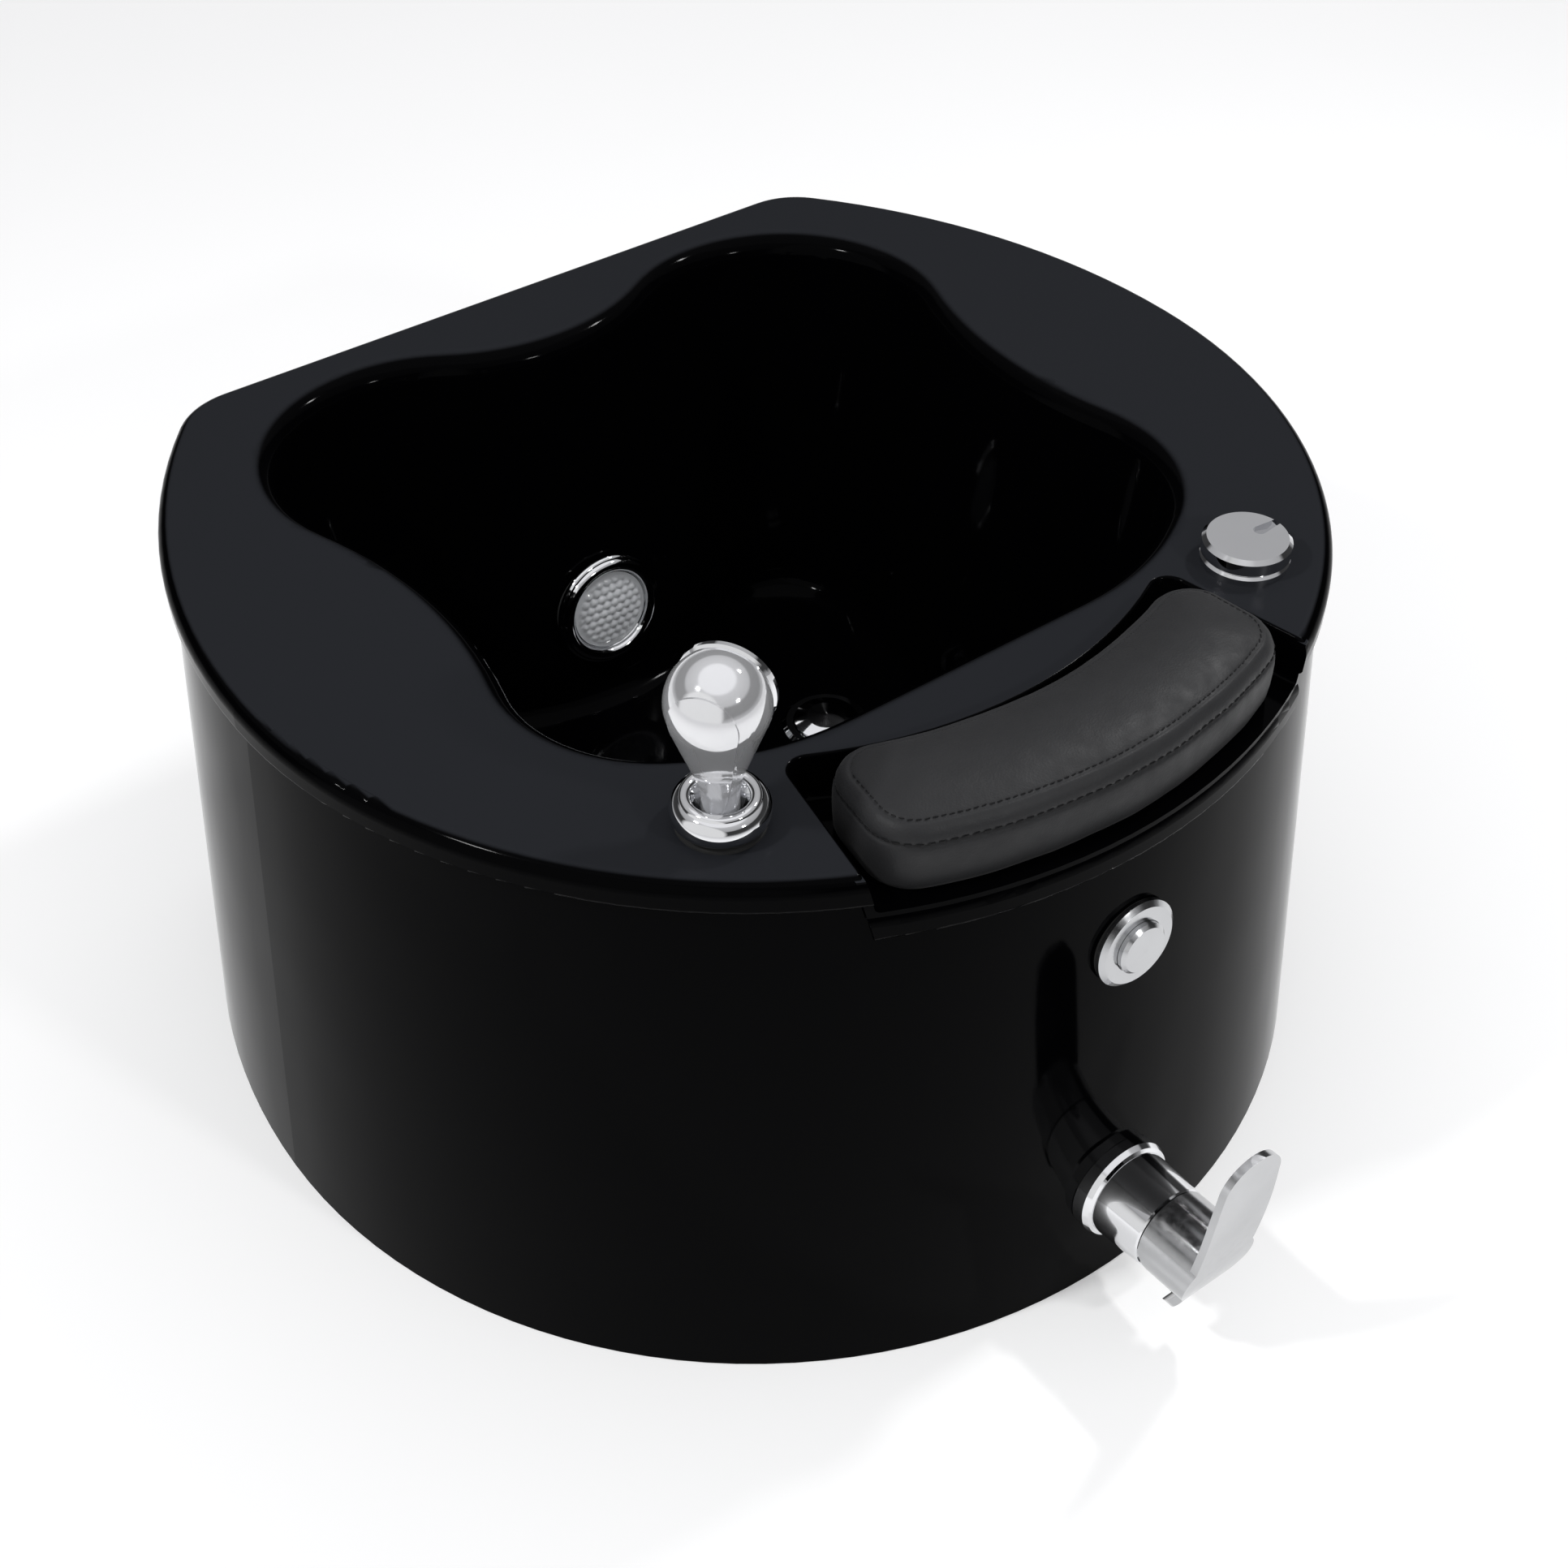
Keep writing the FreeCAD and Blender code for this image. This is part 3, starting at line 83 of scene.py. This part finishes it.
# A stitch from end to end: share of its length, and height in thread radii
STITCH_FORM = ((-0.5, -0.5), (-0.38, 0.35), (-0.15, 0.75), (0.15, 0.75), (0.38, 0.35), (0.5, -0.5))
STITCH_END = 0.45
STITCH_LIFT = 0.0001
STITCH_SIDES = 6
THREAD_FLATNESS = 0.8
LEAN = (0.02, 0.10)
OUTWARD_RISE = 0.004


# Materials

class Maker:
    """Builds one node material."""

    def __init__(self, name):
        self.material = bpy.data.materials.new(name)
        self.material.use_nodes = True
        self.tree = self.material.node_tree
        self.shader = self.tree.nodes["Principled BSDF"]
        self.place = self.add("ShaderNodeTexCoord").outputs["Object"]

    def add(self, kind, **values):
        node = self.tree.nodes.new(kind)
        for key, value in values.items():
            setattr(node, key, value)
        return node

    def link(self, a, b):
        self.tree.links.new(a, b)

    def fill(self, **values):
        for key, value in values.items():
            self.shader.inputs[key.replace("_", " ")].default_value = value

    def noise(self, scale, detail=4.0):
        node = self.add("ShaderNodeTexNoise")
        node.inputs["Scale"].default_value = scale
        node.inputs["Detail"].default_value = detail
        self.link(self.place, node.inputs["Vector"])
        return node.outputs["Fac"]

    def cells(self, scale):
        node = self.add("ShaderNodeTexVoronoi")
        node.inputs["Scale"].default_value = scale
        self.link(self.place, node.inputs["Vector"])
        return node.outputs["Distance"]

    def ramp(self, source, low, high):
        """Map a value between 0.3 and 0.7 of a noise to a span of numbers."""
        node = self.add("ShaderNodeMapRange")
        node.inputs["From Min"].default_value = 0.3
        node.inputs["From Max"].default_value = 0.7
        node.inputs["To Min"].default_value = low
        node.inputs["To Max"].default_value = high
        self.link(source, node.inputs["Value"])
        return node.outputs["Result"]

    def tint(self, source, dark, light):
        """Colour the surface between two colours by a value from 0 to 1."""
        node = self.add("ShaderNodeMix", data_type="RGBA")
        node.inputs["A"].default_value = (*dark, 1)
        node.inputs["B"].default_value = (*light, 1)
        self.link(source, node.inputs["Factor"])
        self.link(node.outputs["Result"], self.shader.inputs["Base Color"])

    def rough(self, source, low, high):
        self.link(self.ramp(source, low, high), self.shader.inputs["Roughness"])

    def bump(self, source, distance, strength, after=None):
        """Raise the surface by a value, on top of an earlier bump if one is given."""
        node = self.add("ShaderNodeBump")
        node.inputs["Distance"].default_value = distance
        node.inputs["Strength"].default_value = strength
        self.link(source, node.inputs["Height"])
        if after:
            self.link(after, node.inputs["Normal"])
        self.link(node.outputs["Normal"], self.shader.inputs["Normal"])
        return node.outputs["Normal"]


def painted_sheen_and_dull_deck_mask(m, level_from=0.90, level_to=0.995, deck_height=0.380):
    """One on the level deck round the bowl, zero on every wall, roll and floor of the shell; it places the
    deck's painted sheen and its higher roughness.
    """
    facing = m.add("ShaderNodeNewGeometry")
    normal = m.add("ShaderNodeSeparateXYZ")
    m.link(facing.outputs["Normal"], normal.inputs["Vector"])
    level = m.add("ShaderNodeMapRange", interpolation_type="SMOOTHSTEP")
    level.inputs["From Min"].default_value = level_from
    level.inputs["From Max"].default_value = level_to
    m.link(normal.outputs["Z"], level.inputs["Value"])
    place = m.add("ShaderNodeSeparateXYZ")
    m.link(m.place, place.inputs["Vector"])
    high = m.add("ShaderNodeMath", operation="GREATER_THAN")
    high.inputs[1].default_value = deck_height
    m.link(place.outputs["Z"], high.inputs[0])
    deck = m.add("ShaderNodeMath", operation="MULTIPLY")
    m.link(level.outputs["Result"], deck.inputs[0])
    m.link(high.outputs["Value"], deck.inputs[1])
    return deck.outputs["Value"]


def gel_coat(gloss_roughness=0.075, deck_roughness=0.30):
    """Black gel coat: deep gloss on every wall, and a rougher deck that is wiped and handled; the deck's
    greyer colour is painted reflection, a painted sheen of a bright overhead softbox on the level top.
    """
    m = Maker("gel_coat")
    m.fill(IOR=1.20, Specular_IOR_Level=0.10)
    deck = painted_sheen_and_dull_deck_mask(m)
    # Painted reflection: the lighter grey on the level deck stands in for the sheen of an overhead softbox;
    # the walls keep the near-black of the gel coat.
    m.tint(deck, dark=(0.0006, 0.0006, 0.0008), light=(0.0150, 0.0160, 0.0188))
    wiped = m.ramp(m.noise(14.0, detail=6.0), low=-0.02, high=0.03)
    dull = m.add("ShaderNodeMath", operation="MULTIPLY_ADD")
    m.link(deck, dull.inputs[0])
    dull.inputs[1].default_value = deck_roughness
    dull.inputs[2].default_value = gloss_roughness
    total = m.add("ShaderNodeMath", operation="ADD", use_clamp=True)
    m.link(dull.outputs["Value"], total.inputs[0])
    m.link(wiped, total.inputs[1])
    m.link(total.outputs["Value"], m.shader.inputs["Roughness"])
    m.bump(m.noise(9.0, detail=1.0), distance=0.0016, strength=0.35)
    return m.material


def polished_chrome():
    m = Maker("chrome_plate")
    m.fill(Metallic=1.0)
    m.tint(m.noise(30.0, detail=2.0), dark=(0.74, 0.745, 0.76), light=(0.80, 0.805, 0.82))
    m.rough(m.noise(160.0, detail=6.0), low=0.02, high=0.075)
    m.bump(m.noise(45.0, detail=1.0), distance=0.0002, strength=0.25)
    return m.material


def soft_chrome(name, metallic, dark, light, low, high):
    """Plate with a softer face than the polished fittings. A metallic share under one adds a pale matt part;
    on the handset that part is painted reflection.
    """
    m = Maker(name)
    m.fill(Metallic=metallic)
    m.tint(m.noise(40.0, detail=2.0), dark, light)
    m.rough(m.noise(220.0, detail=6.0), low, high)
    return m.material


def leather():
    """Satin leatherette: pebble grain over finer creases and a slow unevenness."""
    m = Maker("pad_leather")
    m.fill(IOR=1.45, Specular_IOR_Level=0.30, Sheen_Weight=0.05, Sheen_Roughness=0.5)
    pebble = m.cells(820.0)
    crease = m.noise(330.0, detail=5.0)
    broad = m.noise(24.0, detail=3.0)
    m.tint(broad, dark=(0.0100, 0.0102, 0.0112), light=(0.0160, 0.0163, 0.0178))
    m.rough(m.noise(90.0, detail=5.0), low=0.46, high=0.60)
    grained = m.bump(pebble, distance=0.00022, strength=0.35)
    creased = m.bump(crease, distance=0.00035, strength=0.30, after=grained)
    m.bump(broad, distance=0.0016, strength=0.25, after=creased)
    return m.material


def black_thread():
    m = Maker("black_thread")
    m.fill(Specular_IOR_Level=0.25)
    m.tint(m.noise(900.0), dark=(0.001, 0.001, 0.001), light=(0.004, 0.004, 0.005))
    m.rough(m.noise(400.0), low=0.55, high=0.75)
    m.bump(m.noise(1500.0), distance=0.0002, strength=0.5)
    return m.material


def lens_plastic():
    m = Maker("clear_lens")
    m.fill(Transmission_Weight=0.30, IOR=1.49)
    m.tint(m.noise(60.0), dark=(0.78, 0.80, 0.83), light=(0.90, 0.92, 0.94))
    m.rough(m.noise(200.0), low=0.03, high=0.10)
    m.bump(m.noise(120.0, detail=2.0), distance=0.0003, strength=0.3)
    return m.material


def plain(name, dark, light, roughness, grain, depth, **values):
    """A moulded, cut or drawn material with its own grain."""
    m = Maker(name)
    m.fill(**values)
    m.tint(m.noise(grain * 0.2), dark, light)
    m.rough(m.noise(grain), *roughness)
    m.bump(m.noise(grain * 2), depth, strength=0.4)
    return m.material


def braid():
    """Steel braid over a water hose, as crossing bands of light and dark."""
    m = Maker("braided_hose")
    m.fill(Metallic=1.0)
    weave = m.add("ShaderNodeTexWave", bands_direction="DIAGONAL")
    weave.inputs["Scale"].default_value = 220.0
    weave.inputs["Distortion"].default_value = 1.5
    m.link(m.place, weave.inputs["Vector"])
    m.tint(weave.outputs["Fac"], dark=(0.22, 0.22, 0.23), light=(0.62, 0.62, 0.63))
    m.rough(m.noise(300.0), low=0.25, high=0.45)
    m.bump(weave.outputs["Fac"], distance=0.0006, strength=0.8)
    return m.material


MATERIALS = {
    "gloss_black": gel_coat(),
    "chrome": polished_chrome(),
    "leather_black": leather(),
    "clear_lens": lens_plastic(),
    "lamp_white": plain("lamp_module", (0.60, 0.60, 0.58), (0.80, 0.80, 0.77), roughness=(0.2, 0.35),
                        grain=60.0, depth=0.0002),
    "rubber_black": plain("rubber", (0.010, 0.010, 0.010), (0.022, 0.022, 0.022), roughness=(0.55, 0.75),
                          grain=120.0, depth=0.0003),
    "nylon_black": plain("nylon", (0.018, 0.018, 0.018), (0.034, 0.034, 0.034), roughness=(0.40, 0.60),
                         grain=180.0, depth=0.0003),
    "board_black": plain("board", (0.025, 0.025, 0.025), (0.045, 0.045, 0.045), roughness=(0.55, 0.75),
                         grain=80.0, depth=0.0004),
    "steel": plain("zinc_steel", (0.50, 0.50, 0.51), (0.66, 0.66, 0.67), roughness=(0.22, 0.40),
                   grain=150.0, depth=0.0002, Metallic=1.0),
    "brass": plain("brass", (0.60, 0.44, 0.20), (0.74, 0.58, 0.30), roughness=(0.22, 0.42),
                   grain=130.0, depth=0.0002, Metallic=1.0),
    "braided_hose": braid(),
    "clear_tube": plain("clear_tube", (0.62, 0.64, 0.66), (0.74, 0.76, 0.78), roughness=(0.12, 0.25),
                        grain=60.0, depth=0.0002, Transmission_Weight=0.6, IOR=1.42),
}
THREAD = black_thread()
SATIN = soft_chrome("satin_chrome", 1.0, (0.47, 0.475, 0.485), (0.54, 0.545, 0.555), 0.12, 0.22)
# Painted reflection: the handset's pale matt share brightens its neck and panel as a light panel in front of
# it would in the chrome.
HANDSET_PAINTED_REFLECTION = soft_chrome("handset_chrome_painted_reflection", 0.70, (0.72, 0.725, 0.74), (0.80, 0.805, 0.82), 0.03, 0.09)


def dress(obj, material):
    for slot in obj.material_slots:
        slot.material = material


for row in frame["record"]["subparts"]:
    dress(nodes[row["node"]], MATERIALS[row["material_slot"]])
for name in ("button_housing", "button_cap", "mixer_lever"):
    dress(nodes[name], SATIN)
dress(nodes["handset_shell"], HANDSET_PAINTED_REFLECTION)


# Pieces of the scene's own

def piece(name, mesh, material, replaced, sharp_angle):
    """Make an object that rides on the tub and stands for the nodes it replaces."""
    data = bpy.data.meshes.new(name)
    mesh.to_mesh(data)
    obj = bpy.data.objects.new(name, data)
    bpy.context.scene.collection.objects.link(obj)
    data.materials.append(material)
    data.shade_smooth()
    data.set_sharp_from_angle(angle=math.radians(sharp_angle))
    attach(obj, "tub")
    if replaced:
        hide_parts(*replaced)
    return obj


def skin(mesh, low, high):
    """Faces between two closed rows of as many points."""
    for i in range(len(low)):
        j = (i + 1) % len(low)
        mesh.faces.new((low[i], low[j], high[j], high[i]))


def corner_centre(arc_centre, reach, corner, facing, along):
    """Centre of a corner that touches the pad's end line and lies reach from the centre of a long side."""
    level = facing.dot(PAD_END - arc_centre) - corner
    return arc_centre + facing * level - along * math.sqrt(reach ** 2 - level ** 2)


def pad_arcs():
    """The plan's arcs as centre, radius, start and end, from the front right corner round by the rear."""
    facing = Vector((1.0, PAD_END_SLOPE)).normalized()
    along = Vector((-facing.y, facing.x))
    front = corner_centre(Vector((0, 0)), PAD_FRONT_RADIUS - PAD_FRONT_CORNER, PAD_FRONT_CORNER, facing, along)
    rear = corner_centre(PAD_REAR_CENTRE, PAD_REAR_RADIUS + PAD_REAR_CORNER, PAD_REAR_CORNER, facing, along)
    end = math.atan(PAD_END_SLOPE)
    front_turn = math.atan2(front.y, front.x)
    rear_turn = math.atan2(rear.y - PAD_REAR_CENTRE.y, rear.x)
    return [
        (front, PAD_FRONT_CORNER, front_turn, end),
        (rear, PAD_REAR_CORNER, end, math.pi + rear_turn),
        (PAD_REAR_CENTRE, PAD_REAR_RADIUS, rear_turn, -math.pi - rear_turn),
        (Vector((-rear.x, rear.y)), PAD_REAR_CORNER, -rear_turn, math.pi - end),
        (Vector((-front.x, front.y)), PAD_FRONT_CORNER, math.pi - end, math.pi - front_turn),
        (Vector((0, 0)), PAD_FRONT_RADIUS, -math.pi - front_turn, front_turn)]


def on_arc(arc, grow, angle):
    """A point of an arc of the plan after the whole plan has grown; a rear arc turns back and shrinks."""
    centre, radius, start, end = arc
    reach = radius + grow if end > start else radius - grow
    return centre + Vector((math.cos(angle), math.sin(angle))) * reach


def outline(arcs, grow):
    """The pad's plan moved outward by grow, with the same count of points whatever grow is."""
    points = []
    previous = arcs[-1]
    for arc in arcs:
        radius, start, end = arc[1:]
        leave = on_arc(previous, grow, previous[3])
        enter = on_arc(arc, grow, start)
        if (enter - leave).length > JOINT_GAP:
            points += [leave.lerp(enter, i / JOINT_POINTS) for i in range(JOINT_POINTS)]
        count = max(FEWEST_POINTS, round(abs(end - start) * radius / OUTLINE_STEP))
        points += [on_arc(arc, grow, start + (end - start) * i / count) for i in range(count)]
        previous = arc
    return points


def middle_of(p):
    """The nearest point of the pad's middle line."""
    offset = p - MIDDLE_CENTRE
    ahead = -math.pi / 2
    angle = math.atan2(offset.y, offset.x)
    angle = min(max(angle, ahead - MIDDLE_HALF_ANGLE), ahead + MIDDLE_HALF_ANGLE)
    return MIDDLE_CENTRE + Vector((math.cos(angle), math.sin(angle))) * MIDDLE_RADIUS


def lumps(p, scale, seed):
    """A smooth, fixed, rolling value between -1 and 1."""
    broad = math.sin(p.x * scale + seed) * math.sin(p.y * scale * 1.3 + seed * 2.1)
    fine = math.sin(p.x * scale * 2.3 + seed * 1.7) * math.sin(p.z * scale * 1.9 + p.y * scale + seed)
    return (broad + 0.5 * fine) / 1.5


def ripple(index, turn=1.9, sway=1.3, drift=0.37):
    """An uneven ripple along a row of points, by the point's number."""
    return math.sin(index * turn + sway * math.sin(index * drift))


def pad_rings():
    """The cover's rows of points: side wall, side seam, band, top seam and crown."""
    arcs = pad_arcs()
    rings = [[Vector((p.x, p.y, RECESS_FLOOR + z)) for p in outline(arcs, grow)] for z, grow in PAD_SIDE]
    edge = [Vector((p.x, p.y)) for p in rings[-1]]
    edge_height = PAD_SIDE[-1][0]
    for step in range(1, CROWN_STEPS + 1):
        share = step / CROWN_STEPS
        lift = (PAD_CROWN - (edge_height - PAD_TOP)) * (1 - (1 - share) ** CROWN_FALL)
        ring = [p.lerp(middle_of(p), share * MIDDLE_REACHED) for p in edge]
        rings.append([Vector((p.x, p.y, RECESS_FLOOR + edge_height + lift)) for p in ring])
    return rings


def softened(p, row, index, seam_reach=1.6, pucker=0.00022, lump=0.00055, crease=0.00016, top_share=0.8):
    """A point of the cover after the puckers at its seams and the slow unevenness of its filling."""
    near_seam = sum(math.exp(-((row - seam) / seam_reach) ** 2) for seam in (SIDE_SEAM_ROW, TOP_SEAM_ROW))
    out = Vector((p.x, p.y - MIDDLE_CENTRE.y, 0)).normalized()
    drawn = ripple(index) * near_seam * pucker
    soft = lumps(p, scale=55.0, seed=0.7) * lump + lumps(p, scale=150.0, seed=2.4) * crease
    on_top = row > TOP_SEAM_ROW + 1
    return p + out * (drawn + soft) + Vector((0, 0, soft * top_share * on_top))


def pad():
    """The leather cover of the footrest. Returns its rows of points for the stitches."""
    rings = [[softened(p, row, i) for i, p in enumerate(ring)] for row, ring in enumerate(pad_rings())]
    mesh = bmesh.new()
    rows = [[mesh.verts.new(p) for p in ring] for ring in rings]
    for low, high in zip(rows, rows[1:]):
        skin(mesh, low, high)
    mesh.faces.new(list(reversed(rows[0])))
    bmesh.ops.holes_fill(mesh, edges=[e for e in mesh.edges if e.is_boundary])
    bmesh.ops.triangulate(mesh, faces=[f for f in mesh.faces if len(f.verts) > 4])
    bmesh.ops.recalc_face_normals(mesh, faces=mesh.faces)
    obj = piece("footrest_pad", mesh, MATERIALS["leather_black"], ["footrest_cover"], 180.0)
    return rings


def stitch(mesh, middle, lean, out, length, radius):
    """One thread that rises from the cover, runs along it and dips back in."""
    across = lean.cross(out)
    turns = [math.tau * i / STITCH_SIDES for i in range(STITCH_SIDES)]
    around = [across * math.cos(turn) + out * math.sin(turn) * THREAD_FLATNESS for turn in turns]
    sections = []
    for share, rise in STITCH_FORM:
        centre = middle + lean * (share * length) + out * (rise * radius + STITCH_LIFT)
        reach = radius if abs(share) < STITCH_END else radius * 0.5
        sections.append([mesh.verts.new(centre + way * reach) for way in around])
    for low, high in zip(sections, sections[1:]):
        skin(mesh, low, high)
    mesh.faces.new(list(reversed(sections[0])))
    mesh.faces.new(sections[-1])


def stitch_row(name, ring, inner, pitch, length, radius):
    """Stitches along a row of the cover, a little slanted, each in its own way."""
    mesh = bmesh.new()
    loop = ring + [ring[0]]
    travelled = [0.0]
    for a, b in zip(loop, loop[1:]):
        travelled.append(travelled[-1] + (b - a).length)
    count = int(travelled[-1] / pitch)
    random.seed(7)
    index = 0
    for k in range(count):
        here = (k + 0.5) * travelled[-1] / count
        while travelled[index + 1] < here:
            index += 1
        a, b = loop[index], loop[index + 1]
        middle = a.lerp(b, (here - travelled[index]) / (travelled[index + 1] - travelled[index]))
        along = (b - a).normalized()
        up = inner[index] - a
        up = (up - along * up.dot(along)).normalized()
        out = along.cross(up)
        if out.dot(Vector((middle.x, middle.y - MIDDLE_CENTRE.y, OUTWARD_RISE))) < 0:
            out = -out
        lean = (along + up * random.uniform(*LEAN)).normalized()
        stitch(mesh, middle, lean, out, length, radius)
    bmesh.ops.recalc_face_normals(mesh, faces=mesh.faces)
    piece(name, mesh, THREAD, [], 60.0)


def lens_height(x, y, pitch=0.0068, crest=0.0092, dome=0.0030, bump=0.0013, bump_reach=0.52,
                flat_rim=0.93, fade=0.003):
    """Height of the lens: a shallow dome with close-packed round bumps that fade at a plain rim."""
    r = math.hypot(x, y)
    row_step = pitch * math.sqrt(3) / 2
    nearest = math.inf
    row = round(y / row_step)
    for j in (row - 1, row, row + 1):
        shift = pitch / 2 if j % 2 else 0.0
        column = round((x - shift) / pitch)
        for i in (column - 1, column, column + 1):
            nearest = min(nearest, math.hypot(x - i * pitch - shift, y - j * row_step))
    swell = max(0.0, 1 - (nearest / (pitch * bump_reach)) ** 2)
    edge = min(1.0, max(0.0, (LENS_RADIUS * flat_rim - r) / fade))
    return crest - dome * (r / LENS_RADIUS) ** 2 + bump * swell * edge


def lens(turns=150, span=0.0008, foot_height=0.0054):
    """The moulded lens of the underwater light."""
    steps = int(LENS_RADIUS / span)
    mesh = bmesh.new()
    peak = mesh.verts.new((0, 0, lens_height(0, 0)))
    rows = []
    for step in range(1, steps + 1):
        r = LENS_RADIUS * step / steps
        ring = [(r * math.cos(math.tau * i / turns), r * math.sin(math.tau * i / turns)) for i in range(turns)]
        rows.append([mesh.verts.new((x, y, lens_height(x, y))) for x, y in ring])
    for i in range(turns):
        mesh.faces.new((peak, rows[0][i], rows[0][(i + 1) % turns]))
    rows.append([mesh.verts.new((v.co.x, v.co.y, foot_height)) for v in rows[-1]])
    for low, high in zip(rows, rows[1:]):
        skin(mesh, low, high)
    mesh.faces.new(list(reversed(rows[-1])))
    bmesh.ops.triangulate(mesh, faces=[f for f in mesh.faces if len(f.verts) > 4])
    bmesh.ops.recalc_face_normals(mesh, faces=mesh.faces)
    upright = Matrix.Rotation(math.pi / 2 - LIGHT_TILT, 4, "X")
    bmesh.ops.transform(mesh, matrix=Matrix.Translation(LIGHT_CENTRE) @ upright, verts=mesh.verts)
    piece("lens_bumps", mesh, MATERIALS["clear_lens"], ["light_lens"], 50.0)


cover = pad()
stitch_row("seam_stitches", cover[SIDE_SEAM_ROW + 1], cover[SIDE_SEAM_ROW + 2],
           pitch=0.0062, length=0.0044, radius=0.00052)
stitch_row("top_stitches", cover[TOP_SEAM_ROW + 1], cover[TOP_SEAM_ROW + 2],
           pitch=0.0045, length=0.0031, radius=0.00034)
lens()


# Stage, light and camera

def seen_light(m):
    """One for the rays that look at the floor (camera, glossy and transmitted), zero for all others."""
    path = m.add("ShaderNodeLightPath")
    seen = path.outputs["Is Camera Ray"]
    for kind in ("Is Glossy Ray", "Is Transmission Ray"):
        either = m.add("ShaderNodeMath", operation="MAXIMUM")
        m.link(seen, either.inputs[0])
        m.link(path.outputs[kind], either.inputs[1])
        seen = either.outputs["Value"]
    return seen


def stage_floor(reach=9.0, drop=0.0005, glow_strength=0.24):
    """A pale floor that takes shadows, with a little light of its own that lights nothing else."""
    mesh = bpy.data.meshes.new("floor")
    corners = [(-reach, -reach, 0), (reach, -reach, 0), (reach, reach, 0), (-reach, reach, 0)]
    mesh.from_pydata(corners, [], [(0, 1, 2, 3)])
    floor = bpy.data.objects.new("floor", mesh)
    bpy.context.scene.collection.objects.link(floor)
    floor.location.z = -drop
    m = Maker("floor_paint")
    m.tint(m.noise(3.0), dark=(0.80, 0.80, 0.80), light=(0.82, 0.82, 0.82))
    m.fill(Roughness=0.9, Specular_IOR_Level=0.1)
    glow = m.add("ShaderNodeEmission")
    scale = m.add("ShaderNodeMath", operation="MULTIPLY")
    scale.inputs[1].default_value = glow_strength
    m.link(seen_light(m), scale.inputs[0])
    m.link(scale.outputs["Value"], glow.inputs["Strength"])
    total = m.add("ShaderNodeAddShader")
    m.link(m.shader.outputs["BSDF"], total.inputs[0])
    m.link(glow.outputs["Emission"], total.inputs[1])
    m.link(total.outputs["Shader"], m.tree.nodes["Material Output"].inputs["Surface"])
    mesh.materials.append(m.material)


# The studio's grey level by the upward share of a direction, dark at the horizon so that chrome has contrast
SKY_BANDS = [(0.0, 0.35), (0.10, 0.05), (0.42, 0.04), (0.50, 0.42), (0.78, 0.55), (0.84, 0.95), (1.0, 0.95)]
SKY_BLUE = 1.02
PALE_WALL = (-0.94, -0.30, 0.15)
PALE_WALL_EDGE = (0.62, 0.76)
PALE_WALL_LEVEL = 0.85


def studio_world():
    """A dim studio with a bright ceiling and one pale wall on the left."""
    world = bpy.data.worlds.new("studio")
    bpy.context.scene.world = world
    world.use_nodes = True
    tree = world.node_tree
    direction = tree.nodes.new("ShaderNodeTexCoord").outputs["Generated"]
    split = tree.nodes.new("ShaderNodeSeparateXYZ")
    tree.links.new(direction, split.inputs["Vector"])
    ramp = tree.nodes.new("ShaderNodeValToRGB")
    tree.links.new(split.outputs["Z"], ramp.inputs["Fac"])
    while len(ramp.color_ramp.elements) < len(SKY_BANDS):
        ramp.color_ramp.elements.new(0.5)
    for element, (position, level) in zip(ramp.color_ramp.elements, SKY_BANDS):
        element.position = position
        element.color = (level, level, level * SKY_BLUE, 1.0)
    side = tree.nodes.new("ShaderNodeVectorMath")
    side.operation = "DOT_PRODUCT"
    side.inputs[1].default_value = PALE_WALL
    tree.links.new(direction, side.inputs[0])
    wall = tree.nodes.new("ShaderNodeMapRange")
    wall.interpolation_type = "SMOOTHSTEP"
    wall.inputs["From Min"].default_value, wall.inputs["From Max"].default_value = PALE_WALL_EDGE
    wall.inputs["To Max"].default_value = PALE_WALL_LEVEL
    tree.links.new(side.outputs["Value"], wall.inputs["Value"])
    mix = tree.nodes.new("ShaderNodeMix")
    mix.data_type = "RGBA"
    mix.blend_type = "LIGHTEN"
    mix.inputs["Factor"].default_value = 1.0
    tree.links.new(ramp.outputs["Color"], mix.inputs["A"])
    tree.links.new(wall.outputs["Result"], mix.inputs["B"])
    tree.links.new(mix.outputs["Result"], tree.nodes["Background"].inputs["Color"])


def softbox(name, place, target, size, power):
    light = bpy.data.lights.new(name, "AREA")
    light.shape = "RECTANGLE"
    light.size, light.size_y = size
    light.energy = power
    obj = bpy.data.objects.new(name, light)
    obj.location = place
    obj.rotation_mode = "QUATERNION"
    obj.rotation_quaternion = (Vector(target) - Vector(place)).to_track_quat("-Z", "Y")
    bpy.context.scene.collection.objects.link(obj)


def photo_camera(place=(-0.678, -0.942, 1.195), heading=(0.598, 0.802), pitch=42.4, lens_mm=51.43):
    """The camera as solved from the photograph."""
    camera = bpy.data.objects.new("camera", bpy.data.cameras.new("camera"))
    bpy.context.scene.collection.objects.link(camera)
    camera.data.lens = lens_mm
    camera.data.sensor_width = 36.0
    camera.data.sensor_fit = "HORIZONTAL"
    camera.data.clip_start, camera.data.clip_end = 0.02, 60.0
    down = math.radians(pitch)
    level = Vector((*heading, 0)).normalized()
    ahead = level * math.cos(down) + Vector((0, 0, -math.sin(down)))
    camera.location = place
    camera.rotation_mode = "QUATERNION"
    camera.rotation_quaternion = ahead.to_track_quat("-Z", "Y")
    bpy.context.scene.camera = camera


stage_floor()
studio_world()
softbox("key", place=(-1.4, 0.1, 1.9), target=(0, 0, 0.3), size=(0.20, 0.11), power=15.0)
softbox("fill", place=(1.3, -0.2, 1.9), target=(0, 0, 0.3), size=(0.20, 0.11), power=13.0)
softbox("front", place=(0.3, -1.9, 1.5), target=(0, -0.2, 0.2), size=(0.20, 0.10), power=8.0)
photo_camera()
bpy.context.scene.view_settings.view_transform = "Standard"
